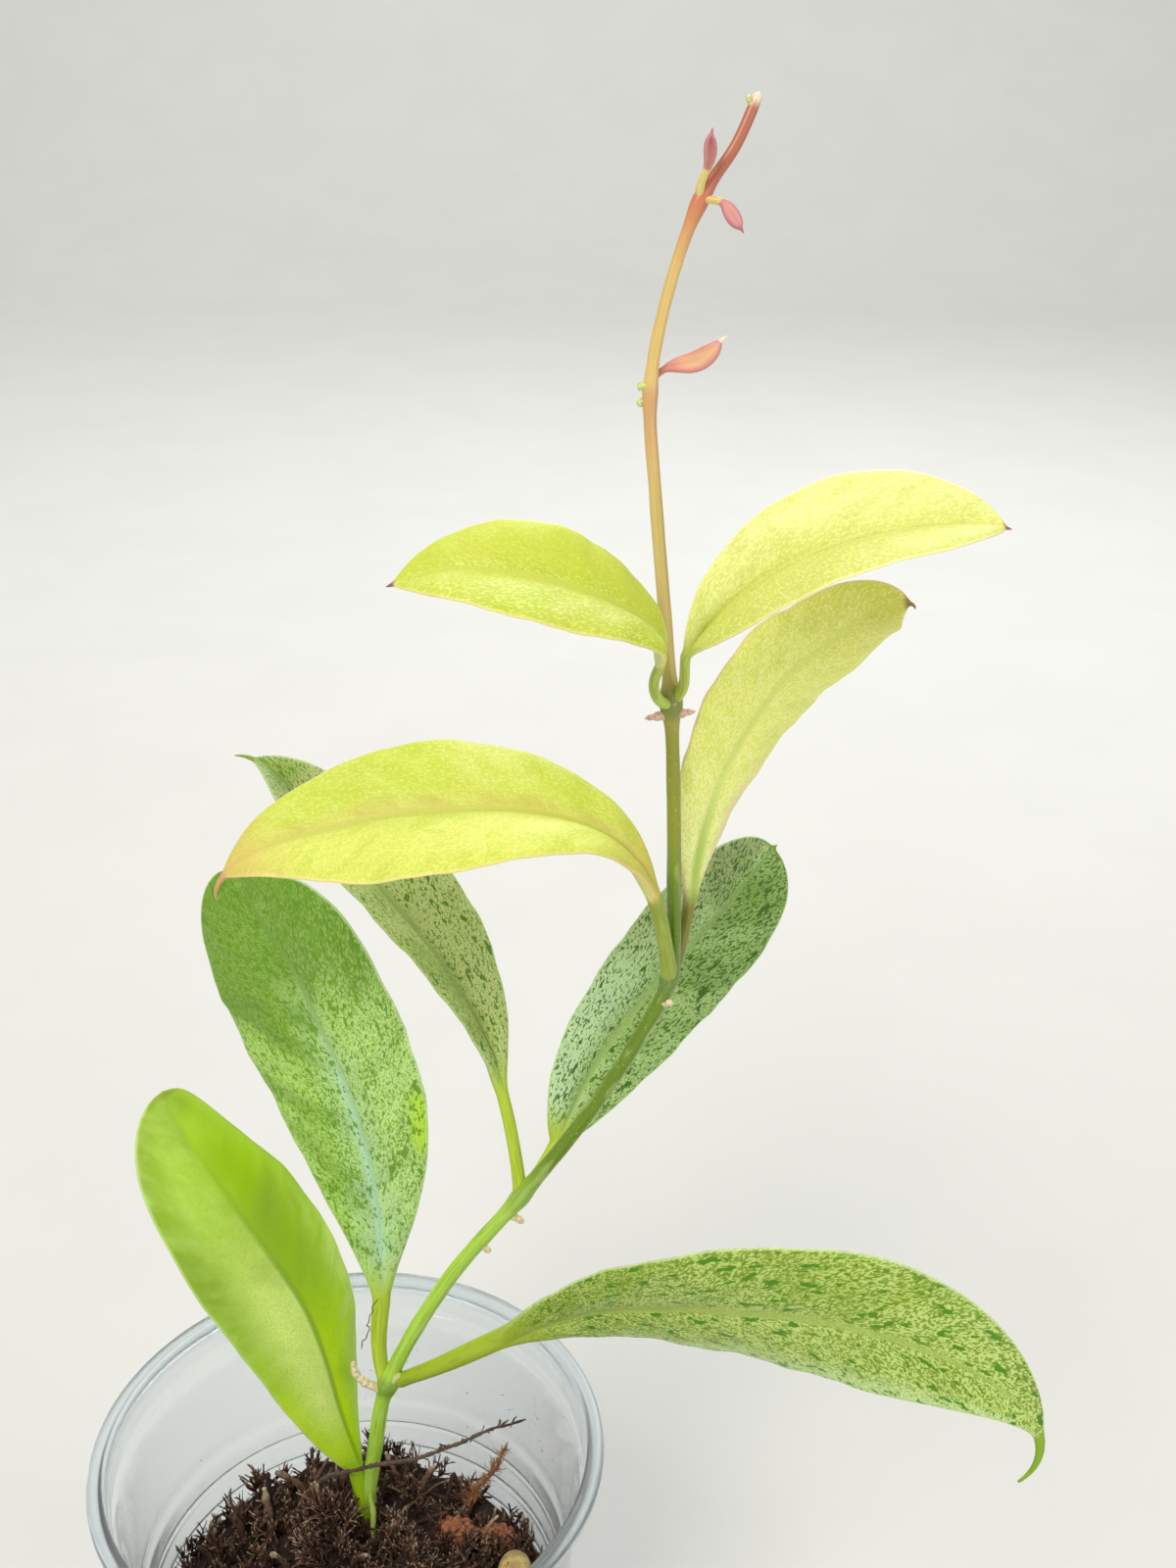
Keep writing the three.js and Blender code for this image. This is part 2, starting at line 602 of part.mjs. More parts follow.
add('sprout', tube(SPROUT.path, evenRadii(SPROUT.radii), 8, 6), 0x8aa84a, 0.5);
add('long_fibre', tube(LONG_FIBRE.path, evenRadii(LONG_FIBRE.radii), 6, 30), 0x2c241f, 0.9);
add('fibre_tuft', tube(TUFT.path, evenRadii(TUFT.radii), 7, 8), 0x9a5f33, 0.9);
CHIPS.forEach((chip) => add(chip.name, lump(chip), chip.colour, 0.9));

const mixNeighbours = [
  stemSpace,
  toSolid(leafGeometry(LEAVES[0], GAP)),
  toSolid(tube(SPROUT.path, evenRadii(SPROUT.radii, GAP), 8, 6)),
  toSolid(tube(LONG_FIBRE.path, evenRadii(LONG_FIBRE.radii, GAP), 6, 30)),
  toSolid(tube(TUFT.path, evenRadii(TUFT.radii, GAP), 7, 8)),
  ...CHIPS.map((chip) => toSolid(lump(chip, GAP))),
];
add('potting_mix', toGeometry(mixSolid(mixNeighbours)), 0x33281f, 0.95);

export default plant;
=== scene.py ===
# %% [markdown]
# # A young wax plant in a clear nursery cup
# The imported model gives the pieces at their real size: a thin clear cup, a coarse fibre mix, one climbing
# stem, leaves on their own stalks, and short roots at the joints. This lesson gives each of them the
# surface that the eye expects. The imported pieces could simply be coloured, but they are too plain for a
# leaf's waves or for single fibres. So each is worked out anew with numpy, in the model's own frame, and
# nothing has to be moved into place afterwards.

import bpy
import numpy as np
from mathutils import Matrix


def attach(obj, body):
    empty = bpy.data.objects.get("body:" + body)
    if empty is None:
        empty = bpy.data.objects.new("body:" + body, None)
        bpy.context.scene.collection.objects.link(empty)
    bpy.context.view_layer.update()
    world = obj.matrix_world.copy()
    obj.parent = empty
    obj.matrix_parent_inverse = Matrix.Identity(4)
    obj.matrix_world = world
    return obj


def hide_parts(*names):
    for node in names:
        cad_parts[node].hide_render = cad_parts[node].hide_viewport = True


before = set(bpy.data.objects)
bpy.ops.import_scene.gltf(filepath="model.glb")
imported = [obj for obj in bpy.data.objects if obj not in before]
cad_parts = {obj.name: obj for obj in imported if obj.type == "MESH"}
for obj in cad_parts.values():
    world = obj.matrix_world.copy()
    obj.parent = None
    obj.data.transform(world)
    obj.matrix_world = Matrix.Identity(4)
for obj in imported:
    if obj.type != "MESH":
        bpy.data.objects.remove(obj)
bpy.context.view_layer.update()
print("nodes in the frame:", len(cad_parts))

# %% [markdown]
# Blender works in metres and linear colour. A plant is easier to describe in millimetres and in the
# colours of a screen, so two small rules turn one into the other. Shader nodes could be laid out in the
# editor one by one, but a script can repeat them for every finish. One helper adds a node with its
# settings and links and returns the output that the next node needs.

# %% Units, colours and shader nodes
MM = 0.001


def linear(hex_colour):
    """sRGB hex to linear RGBA: below 0.04045 divide by 12.92, above it ((c + 0.055) / 1.055) ** 2.4."""
    srgb = np.array([int(hex_colour[i:i + 2], 16) for i in (1, 3, 5)]) / 255
    straight = srgb / 12.92
    curved = ((srgb + 0.055) / 1.055) ** 2.4
    return (*np.where(srgb <= 0.04045, straight, curved).tolist(), 1.0)


def add(tree, kind, inputs, output=0, **settings):
    """Add a node, set its properties, set or link its inputs, and return one of its outputs."""
    made = tree.nodes.new("ShaderNode" + kind)
    for name, value in settings.items():
        setattr(made, name, value)
    for socket, value in inputs.items():
        if isinstance(value, bpy.types.NodeSocket):
            tree.links.new(value, made.inputs[socket])
        else:
            made.inputs[socket].default_value = value
    return made.outputs[output]


print("one millimetre is", MM, "m; mid green is", [round(c, 3) for c in linear("#6d8d24")])

# %% [markdown]
# Bark, leaf skin and dry fibre are all coloured by layers: a ground, then stains, flecks, tints, and
# painted light and shade, that each show only somewhere. Painted pictures could hold them, but noises stay
# sharp from close by and need no files. So a finish here is a list. `grains` are noises with their size
# in millimetres, `marks` are numbers stored on the mesh, and a layer is a colour, its strength and the
# soft steps that switch it on: a step is 0 at its first number, 1 at its second and smooth between. One
# slow sum of such steps moves the threshold of several grains at once. Its steps by a slow noise make a
# leaf more flecked in one part than in another, and its steps by the half and the length of a leaf paint
# shade on one half and one end. Each noise is read at its own shifted place, so that no two of them run
# alike.

# %% Layered finishes
NOISE_SHIFT = 17.3
SMOOTH_STEP = {"interpolation_type": "SMOOTHSTEP"}


def layered_finish(name, ground, layers, grains, marks=(), lay=None, mottle_and_shade=(), drifting=None,
                   rough=("", 0.5, 0.5), relief=("", 0, 0), **constants):
    """Noise per grain, plus drift; each layer's mask is the product of its soft steps and strength,
    and the layers are mixed over the ground in turn. One grain drives roughness, one the relief."""
    material = bpy.data.materials.new(name)
    material.use_nodes = True
    tree = material.node_tree
    skin = tree.nodes["Principled BSDF"]
    for socket, value in constants.items():
        skin.inputs[socket.replace("_", " ")].default_value = value

    fields = {mark: add(tree, "Attribute", {}, "Fac", attribute_name=mark) for mark in marks}
    if lay:
        place, unit_size = add(tree, "Attribute", {}, "Vector", attribute_name=lay), 1
    else:
        place, unit_size = add(tree, "TexCoord", {}, "Object"), MM
    for number, (grain, (size, detail)) in enumerate(grains.items()):
        repeats = tuple(1 / (one * unit_size) for one in np.broadcast_to(size, 3))
        scaled = add(tree, "VectorMath", {0: place, 1: repeats}, operation="MULTIPLY")
        moved = add(tree, "VectorMath", {0: scaled, 1: (NOISE_SHIFT * number,) * 3}, operation="ADD")
        fields[grain] = add(tree, "TexNoise", {"Vector": moved, "Scale": 1.0, "Detail": detail})

    # The slow sum: steps by a noise give a real mottle, steps by a leaf's half or length paint its shade.
    slow_sum = 0.0
    for field, low, high, amount in mottle_and_shade:
        limits = {"Value": fields[field], "From Min": low, "From Max": high, "To Max": amount}
        slow_sum = add(tree, "Math", {0: add(tree, "MapRange", limits, **SMOOTH_STEP), 1: slow_sum})
    fields["mottle_and_shade"] = slow_sum
    for grain, share in (drifting or {}).items():
        fields[grain] = add(tree, "Math", {0: slow_sum, 1: share, 2: fields[grain]}, operation="MULTIPLY_ADD")

    colour = linear(ground)
    for shade, strength, *steps in layers:
        mask = strength
        for field, low, high in steps:
            limits = {"Value": fields[field], "From Min": low, "From Max": high}
            step = add(tree, "MapRange", limits, **SMOOTH_STEP)
            mask = add(tree, "Math", {0: step, 1: mask}, operation="MULTIPLY")
        colour = add(tree, "Mix", {0: mask, 6: colour, 7: linear(shade)}, 2, data_type="RGBA")
    tree.links.new(colour, skin.inputs["Base Color"])

    grain, low, high = rough
    if grain:
        dull = add(tree, "MapRange", {"Value": fields[grain], "To Min": low, "To Max": high})
        tree.links.new(dull, skin.inputs["Roughness"])
    grain, strength, depth = relief
    if grain:
        inputs = {"Height": fields[grain], "Strength": strength, "Distance": depth * MM}
        tree.links.new(add(tree, "Bump", inputs, "Normal"), skin.inputs["Normal"])
    return material


print("a layer reads: colour, strength, (field, off, on), ...")

# %% [markdown]
# Every piece here is a skin over rows of points: a cup, a stem and a leaf are all a loop that is carried
# along a path and closed at both ends. Curves and modifiers could make most of them, but with a grid
# every point is known, and a number such as its distance from the rib can be stored with it for the
# finish. So one function lays faces over such a grid, and one gives the finished mesh to the frame: which
# CAD node it stands for and which finish it takes.

# %% Grids to meshes
def grid_faces(rows, loop):
    """Squares between neighbouring rows of a grid whose rows close round: corners a, b, c, d."""
    row = np.arange(rows - 1)[:, None] * loop
    here = np.arange(loop)[None, :]
    after = (here + 1) % loop
    a, b = row + here, row + after
    return np.stack([a, b, b + loop, a + loop], axis=-1).reshape(-1, 4)


def skin_mesh(name, points, **marks):
    """A mesh over points shaped (tubes, rows, loop, 3) in mm; one face closes each end of a tube."""
    tubes, rows, loop, _ = points.shape
    starts = np.arange(tubes)[:, None, None] * rows * loop
    sides = (grid_faces(rows, loop)[None] + starts).reshape(-1, 4)
    first = np.arange(loop)[::-1][None] + starts[:, 0]
    last = first[:, ::-1] + (rows - 1) * loop
    mesh = bpy.data.meshes.new(name)
    faces = sides.tolist() + first.tolist() + last.tolist()
    mesh.from_pydata((points.reshape(-1, 3) * MM).tolist(), [], faces)
    for key, values in marks.items():
        wide = values.ndim == points.ndim
        kind, field = ("FLOAT_VECTOR", "vector") if wide else ("FLOAT", "value")
        whole = np.broadcast_to(values, points.shape if wide else points.shape[:3])
        layer = mesh.attributes.new(key, kind, "POINT")
        layer.data.foreach_set(field, np.ascontiguousarray(whole, dtype=np.float32).ravel())
    mesh.shade_smooth()
    return mesh


def stand_in(mesh, material, slot, *nodes):
    """Put a mesh in the scene as a piece that rides on the root body in place of CAD nodes."""
    mesh.materials.append(material)
    piece = bpy.data.objects.new(mesh.name, mesh)
    bpy.context.collection.objects.link(piece)
    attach(piece, "root")
    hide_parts(*nodes)
    return len(mesh.polygons)


print("a grid of 3 rows of 4 points has", len(grid_faces(3, 4)), "squares")

# %% [markdown]
# The photo was taken from above the rim, looking down at a good 25 degrees, with the camera held level. A
# camera can be placed by eye, but one that is worked out lets the render be laid over the photo. The
# rim's ellipse gives both the tilt and the distance. The long side of the picture is 1600 pixels, and a
# thing as wide as it is far away would fill 1800, which is what a 40.5 mm lens on a 36 mm frame does.

# %% Camera
LOOK_DOWN = np.radians(25.08)
CAMERA_PLACE = np.array([35.64, -196.41, 272.12]) * MM
PHOTO_LONG_SIDE = 1600
FOCAL_PIXELS = 1800
FRAME_WIDTH = 36

lens = bpy.data.cameras.new("camera")
lens.sensor_width = FRAME_WIDTH
lens.lens = FRAME_WIDTH * FOCAL_PIXELS / PHOTO_LONG_SIDE
lens.clip_start = 0.005
camera = bpy.data.objects.new("camera", lens)
camera.location = CAMERA_PLACE
camera.rotation_euler = (np.pi / 2 - LOOK_DOWN, 0, 0)
bpy.context.collection.objects.link(camera)
bpy.context.scene.camera = camera
print("lens", lens.lens, "mm")

# %% [markdown]
# A flat floor that ends somewhere draws a horizon through the picture. A studio sweep is a floor that
# curves up into a wall, so no edge shows behind the plant. Its profile is a straight line, a quarter
# circle and another straight line. One large soft light from the upper left front does most of the work,
# a weaker one fills the shadows, one behind lights the rims of the leaves and the cup, and one from above
# keeps the sweep evenly pale.

# %% Floor and light
SWEEP_FRONT, SWEEP_BACK, SWEEP_RADIUS, SWEEP_HEIGHT, SWEEP_HALF_WIDTH = 2.5, 1.3, 0.7, 2.6, 3.5
SWEEP_ROWS = 33


def sweep_mesh():
    """Floor line at z 0, then an arc (y = back + r sin t, z = r - r cos t), then a wall line."""
    turn = np.linspace(0, np.pi / 2, SWEEP_ROWS)
    arc = np.stack([SWEEP_BACK + SWEEP_RADIUS * np.sin(turn), SWEEP_RADIUS * (1 - np.cos(turn))], axis=-1)
    profile = np.vstack([[[-SWEEP_FRONT, 0]], arc, [[SWEEP_BACK + SWEEP_RADIUS, SWEEP_HEIGHT]]])
    sides = [np.insert(profile, 0, x, axis=1) for x in (-SWEEP_HALF_WIDTH, SWEEP_HALF_WIDTH)]
    k = np.arange(len(profile) - 1)
    faces = np.stack([k, k + len(profile), k + len(profile) + 1, k + 1], axis=-1)
    mesh = bpy.data.meshes.new("studio_sweep")
    mesh.from_pydata(np.vstack(sides).tolist(), [], faces.tolist())
    mesh.shade_smooth()
    return mesh


def soft_light(name, spot, aim, size, power, colour):
    """A square area light at spot, turned so that its face looks at aim."""
    lamp = bpy.data.lights.new(name, "AREA")
    lamp.size = size
    lamp.energy = power
    lamp.color = linear(colour)[:3]
    holder = bpy.data.objects.new(name, lamp)
    holder.location = spot
    away = holder.location - type(holder.location)(aim)
    holder.rotation_euler = away.to_track_quat("Z", "Y").to_euler()
    bpy.context.collection.objects.link(holder)


# Seamless paper, rolled and uncoated: no gloss, an even pale grey with a faint mottle of 60 mm.
paper = layered_finish("pale_paper", "#d2d2ce", [("#cdcdc9", 0.3, ("mottle", 0.4, 0.6))],
                       {"mottle": (60, 2)}, Roughness=0.9)
sweep = bpy.data.objects.new("studio_sweep", sweep_mesh())
sweep.data.materials.append(paper)
bpy.context.collection.objects.link(sweep)

PLANT_MIDDLE, SWEEP_MIDDLE = (0.02, 0.0, 0.13), (0, 1.9, 0.6)
LAMPS = [  # name, place in metres, aim, size in metres, watts, colour
    ("key", (-0.4, -0.7, 0.95), PLANT_MIDDLE, 0.6, 9.8, "#fff9ee"),
    ("fill", (0.8, -0.6, 0.45), PLANT_MIDDLE, 0.8, 3.2, "#ffffff"),
    ("rim", (0.25, 0.75, 0.75), PLANT_MIDDLE, 0.5, 3.5, "#ffffff"),
    ("sweep_light", (0, 0.9, 1.9), SWEEP_MIDDLE, 1.2, 22, "#ffffff"),
]
for lamp in LAMPS:
    soft_light(*lamp)
world = bpy.data.worlds.new("room")
world.use_nodes = True
backdrop = world.node_tree.nodes["Background"]
backdrop.inputs["Color"].default_value = linear("#f4f6f8")
backdrop.inputs["Strength"].default_value = 0.4
bpy.context.scene.world = world
bpy.context.scene.view_settings.view_transform = "Standard"
print(len(LAMPS), "lights and a sweep")

# %% [markdown]
# A leaf of this plant is a round stalk that flattens into a thick, folded blade. It could be sculpted,
# but twelve leaves that grow by one rule look like leaves of one plant. Its midrib is a path with a
# heading that changes smoothly, so the same few numbers that shape the CAD leaf shape this one, on a
# much finer grid. They are millimetres and degrees:
#
# - `petiole`, `blade` and `tail` are the lengths of the stalk, the blade and the drip tip. `cut` is how
#   much of the tail is left off, and `hook` turns it aside.
# - `turn` is the heading in the XZ plane and `out` the heading towards the front, each at six places:
#   at the joint, at the blade's base, at both its thirds, at its end and at the end of the tail.
# - `roll` turns the blade about its midrib and `fold` lifts its halves, from its base to its tip.
# - `width` and the two powers of `shape` give the outline, `ripple` and `quilt` its waves.
# - `stalk` and `end` are the stalk's and the midrib's half thickness, and `flare` is how much wider the
#   stalk gets towards the blade. `bow` bends it sideways, where a pair stands like a lyre round the
#   stem, and `foot` shifts its lower end to the side of the joint.

# %% Joints of the stem
JOINT = {
    "base": (-0.5, 12.5, 43), "first": (5, 9.5, 74.5), "second": (26, 7.5, 111.5),
    "third": (46.5, 5, 149.5), "fourth": (46, 7.5, 188), "fifth": (43, 13, 225.5),
    "sixth": (48.5, 15, 247), "tip": (55, 17, 258.5),
}
print("the stem's tip is", JOINT["tip"][2], "mm high")

# %% [markdown]
# A leaf is named for its joint, counted from the foot, and for the side it leans to. Leaves 0 to 2 are
# grown, 3 and 4 are young, and 5 and 6 only unfold, so they have no waves yet.

# %% Leaf dimensions
LEAVES = {
    "leaf_0": dict(
        joint="base", petiole=11.5, blade=80.5, tail=1, cut=0.8, width=23.5, ripple=0.3, quilt=0.05,
        turn=(91, 96, 97, 112, 97, 89), out=(7, 6, 9, 9, -4, 4),
        roll=(59, 40, 36), fold=(5, 4), shape=(0.8, 0.5), stalk=1.2, end=0.4),
    "leaf_1_left": dict(
        joint="first", petiole=13, blade=72.5, tail=2, width=28, ripple=0.5, quilt=0.12,
        turn=(98, 90, 100, 110, 93, 77), out=(-17, -15, -8, -6, -14, -9),
        roll=(23, -29, -39), fold=(9, 16), shape=(1, 0.43), stalk=1, end=0.35, flare=0.35, bow=-0.7),
    "leaf_1_right": dict(
        joint="first", petiole=27, blade=88.5, tail=9, width=22, ripple=0.4, quilt=0.1,
        turn=(48, 44, 30, -4, -74, -128), out=(30, 18, 28, 15, 1, -9),
        roll=(42, 42, -5), fold=(21, 2), shape=(0.98, 0.9), stalk=1.05, end=0.7, flare=0.4,
        foot=(1.5, 0.3, 0.2)),
    "leaf_2_left": dict(
        joint="second", petiole=14.5, blade=60.5, tail=3, width=21.5, ripple=0.4, quilt=0.1,
        turn=(96, 105, 126, 135, 162, 191), out=(-22, -19, -14, -14, -18, -18),
        roll=(31, 46, 46), fold=(50, 31), shape=(1.18, 0.82), stalk=0.9, end=0.35),
    "leaf_2_right": dict(
        joint="second", petiole=9, blade=54, tail=1.5, cut=0.9, width=21.5, ripple=0.4, quilt=0.08,
        turn=(32, 59, 54, 49, 40, 35), out=(-44, -30, -16, -8, -12, -13),
        roll=(14, 32, 25), fold=(28, 18), shape=(0.71, 0.45), stalk=0.9, end=0.25),
    "leaf_3_left": dict(
        joint="third", petiole=14, blade=61.5, tail=4, width=22, ripple=0.3, quilt=0.1,
        turn=(96, 105, 166, 190, 228, 275), out=(21, 10, 8, 3, 5, -27),
        roll=(49, 36, 40), fold=(32, 14), shape=(1.3, 0.91), stalk=1, end=0.4),
    "leaf_3_right": dict(
        joint="third", petiole=9, blade=56, tail=3, cut=1.9, hook=-60, width=17.5, ripple=0.4, quilt=0.08,
        turn=(66, 80, 69, 49, -1, -44), out=(-25, -21, -5, 8, 27, 13),
        roll=(35, 42, 51), fold=(7, 6), shape=(1.09, 0.67), stalk=0.8, end=0.32),
    "leaf_4_left": dict(
        joint="fourth", petiole=11, blade=41.5, tail=1.2, cut=0.4, width=16.5, ripple=0.25, quilt=0.08,
        turn=(122, 89, 144, 170, 202, 205), out=(41, 44, 24, 0, -10, -11),
        roll=(56, 34, 40), fold=(22, 26), shape=(1.13, 0.83), stalk=0.65, end=0.25, bow=-1.1),
    "leaf_4_right": dict(
        joint="fourth", petiole=10, blade=44, tail=1.2, cut=0.4, width=16, ripple=0.25, quilt=0.08,
        turn=(90, 71, 39, 14, -15, -21), out=(35, 32, 11, 5, -10, -11),
        roll=(-1, -26, -34), fold=(45, 32), shape=(1.13, 0.72), stalk=0.65, end=0.25, bow=1.2),
    "leaf_5_right": dict(
        joint="fifth", petiole=3.5, blade=8, tail=1, width=2.5, ripple=0, quilt=0,
        turn=(92, 30, 11, 37, 47, 29), out=(-66, 3, 16, 14, -1, 1),
        roll=(1, 2, 1), fold=(24, 14), shape=(0.83, 0.65), stalk=0.4, end=0.3),
    "leaf_6_left": dict(
        joint="sixth", petiole=4, blade=4, tail=0.6, width=1.5, ripple=0, quilt=0,
        turn=(101, 71, 85, 90, 80, 80), out=(24, 21, 13, -1, -1, 1),
        roll=(0, 0, -1), fold=(25, 15), shape=(0.83, 0.66), stalk=0.45, end=0.2),
    "leaf_6_right": dict(
        joint="sixth", petiole=2.5, blade=4, tail=0.6, width=1.8, ripple=0, quilt=0,
        turn=(16, -20, -56, -54, -52, -60), out=(27, 27, 25, 4, -1, 2),
        roll=(0, 1, 1), fold=(25, 14), shape=(0.82, 0.68), stalk=0.4, end=0.2),
}
print(len(LEAVES), "leaves")

# %% [markdown]
# A midrib could be a list of points in space, but a heading at a few places says more plainly how a leaf
# arches. It is read off a smooth curve through its six values: between each two of them runs a cubic
# whose slopes meet. Adding up short steps along the heading gives the midrib. A plant turns its leaves to
# the light, so the light's direction, made square to the midrib, tells which way the blade faces before
# it is rolled.

# %% Midrib
LIGHT = np.array([0.1, -0.85, 0.52]) / np.linalg.norm([0.1, -0.85, 0.52])
STALK_FOOT_LENGTH = 9
BOW_EARLY = 0.7


def smooth(x):
    """0 below 0, 1 above 1, and x squared times (3 - 2x) between."""
    x = np.clip(x, 0, 1)
    return x * x * (3 - 2 * x)


def through(knots, values, t):
    """Cubic Hermite curve through values at knots; inner slopes are the weighted mean of both sides."""
    gap = np.diff(knots)
    slope = np.diff(values) / gap
    inner = (slope[:-1] * gap[1:] + slope[1:] * gap[:-1]) / (gap[1:] + gap[:-1])
    tangent = np.concatenate([slope[:1], inner, slope[-1:]])
    i = np.clip(np.searchsorted(knots, t, side="right") - 1, 0, len(knots) - 2)
    s = (t - np.asarray(knots)[i]) / gap[i]
    rise = s * s * (3 - 2 * s)
    bend = tangent[i] * s * (1 - s) ** 2 + tangent[i + 1] * s * s * (s - 1)
    return np.asarray(values)[i] * (1 - rise) + np.asarray(values)[i + 1] * rise + gap[i] * bend


def unit(v):
    """v divided by its own length."""
    return v / np.linalg.norm(v, axis=-1, keepdims=True)


def midrib(leaf, steps):
    """Stations s along the leaf, and there the place, the up direction and the side direction:
    place = joint + running sum of heading * step + foot * (1 - smooth(s / 9)) + bow * half a sine."""
    petiole, blade, tail = leaf["petiole"], leaf["blade"], leaf["tail"]
    knots = np.cumsum([0, petiole, blade / 3, blade / 3, blade / 3, tail])
    s = np.linspace(0, knots[-1] - leaf.get("cut", 0), steps)

    def heading(at):
        turn, out = (np.radians(through(knots, leaf[key], at)) for key in ("turn", "out"))
        turn = turn + np.radians(leaf.get("hook", 0)) * smooth((at - knots[4]) / (s[-1] - knots[4]))
        return np.stack([np.cos(out) * np.cos(turn), -np.sin(out), np.cos(out) * np.sin(turn)], axis=-1)

    stride = heading((s[1:] + s[:-1]) / 2) * (s[1] - s[0])
    spot = np.vstack([[0, 0, 0], np.cumsum(stride, axis=0)]) + JOINT[leaf["joint"]]
    along = heading(s)
    facing = unit(LIGHT - along * (along @ LIGHT)[:, None])
    share = np.clip((s - petiole) / blade, 0, 1)
    roll = np.radians(through([0, 0.5, 1], leaf["roll"], share))[:, None]
    up = np.cos(roll) * facing + np.sin(roll) * np.cross(along, facing)
    side = np.cross(along, up)
    bow = leaf.get("bow", 0) * np.sin(np.pi * np.clip(s / petiole, 0, 1) ** BOW_EARLY)
    foot = np.outer(1 - smooth(s / STALK_FOOT_LENGTH), leaf.get("foot", (0, 0, 0)))
    return s, spot + foot + bow[:, None] * np.cross(along, facing), up, side


print("the drip tip of leaf_1_right is at", midrib(LEAVES["leaf_1_right"], 400)[1][-1].round(1), "mm")

# %% [markdown]
# The outline comes first. It could be traced point by point, but a formula keeps it smooth: a share of
# the blade's length raised to one power and what is left of it raised to another make a bell that leans
# to either end, so two numbers tell a blunt leaf from a pointed one. The stalk starts with a small
# swelling, the pulvinus, by which the leaf turns, and runs on inside the blade as a thinning midrib.

# %% Leaf outline
PULVINUS, PULVINUS_LENGTH = 0.3, 2
MIDRIB_THINS_OVER, FLARE_ENDS_AT, TAIL_TAPER = 1 / 2.2, 0.3, 0.75


def leaf_outline(leaf, s):
    """Half width and stalk thickness at s: width / 2 * share ** blunt * (1 - share) ** taper, made 1 at
    its widest and joined to the stalk as the sides of a right angle; both close round at the joint."""
    petiole, blade, tail = leaf["petiole"], leaf["blade"], leaf["tail"] - leaf.get("cut", 0)
    share = np.clip((s - petiole) / blade, 0, 1)
    blunt, taper = leaf["shape"]
    widest = blunt / (blunt + taper)
    outline = share ** blunt * (1 - share) ** taper / (widest ** blunt * (1 - widest) ** taper)
    stalk = leaf["stalk"] + (leaf["end"] - leaf["stalk"]) * smooth(share / MIDRIB_THINS_OVER)
    stalk = stalk * (1 + PULVINUS * np.exp(-s / PULVINUS_LENGTH) * (s < petiole))
    stalk = stalk * (1 + leaf.get("flare", 0) * smooth(s / petiole) * (1 - smooth(share / FLARE_ENDS_AT)))
    stalk = stalk * (1 - TAIL_TAPER * np.clip((s - petiole - blade) / tail, 0, 1))
    half = np.hypot(leaf["width"] / 2 * outline, stalk)
    knee = np.sqrt(1 - (1 - np.clip(s / leaf["stalk"], 0.02, 1)) ** 2)
    return half * knee, stalk * knee


half, stalk = leaf_outline(LEAVES["leaf_1_left"], np.linspace(0, 87, 200))
print("leaf_1_left is", (2 * half.max()).round(1), "mm wide")

# %% [markdown]
# A flat sheet with a Solidify modifier would have a square rim and two faces alike. So one closed loop
# goes round the midrib instead: over the upper face from margin to margin and back below. The blade is
# about a millimetre thick, as wax plant leaves are, and thins to a rounded margin. A shallow channel
# follows the midrib above and a rib stands out below. Slow waves lift the margins, and the face between
# the side veins is quilted by a tenth of a millimetre, which the light shows. Each point also keeps where
# it lies on the leaf, for the markings: how far along and across, on which face, how far from the rib and
# the rim, and its place measured along the side veins.

# %% Leaf surface
LEAF_LOOP = 72
BLADE_THICKNESS = 1.0
LEAF_CURL = np.radians(25)
OPEN_BY, FLAT_BY, FLAT_UNTIL = 0.12, 0.25, 0.85
CHANNEL_DEPTH, CHANNEL_WIDTH, RIB_HEIGHT, RIB_FADE = 0.28, 0.9, 0.45, 0.7
VEIN_SPACING, VEIN_SLANT = 5.5, 0.75
LONG_WAVE, SHORT_WAVE, SHORT_WAVE_SIZE = 34, 83, 0.35
LONG_WAVE_SHIFT, SHORT_WAVE_SHIFT = 1.9, 4.1
SLOW_QUILT, QUILT_ALONG, QUILT_ACROSS, QUILT_FADE = 0.8, 0.41, 0.7, 0.15


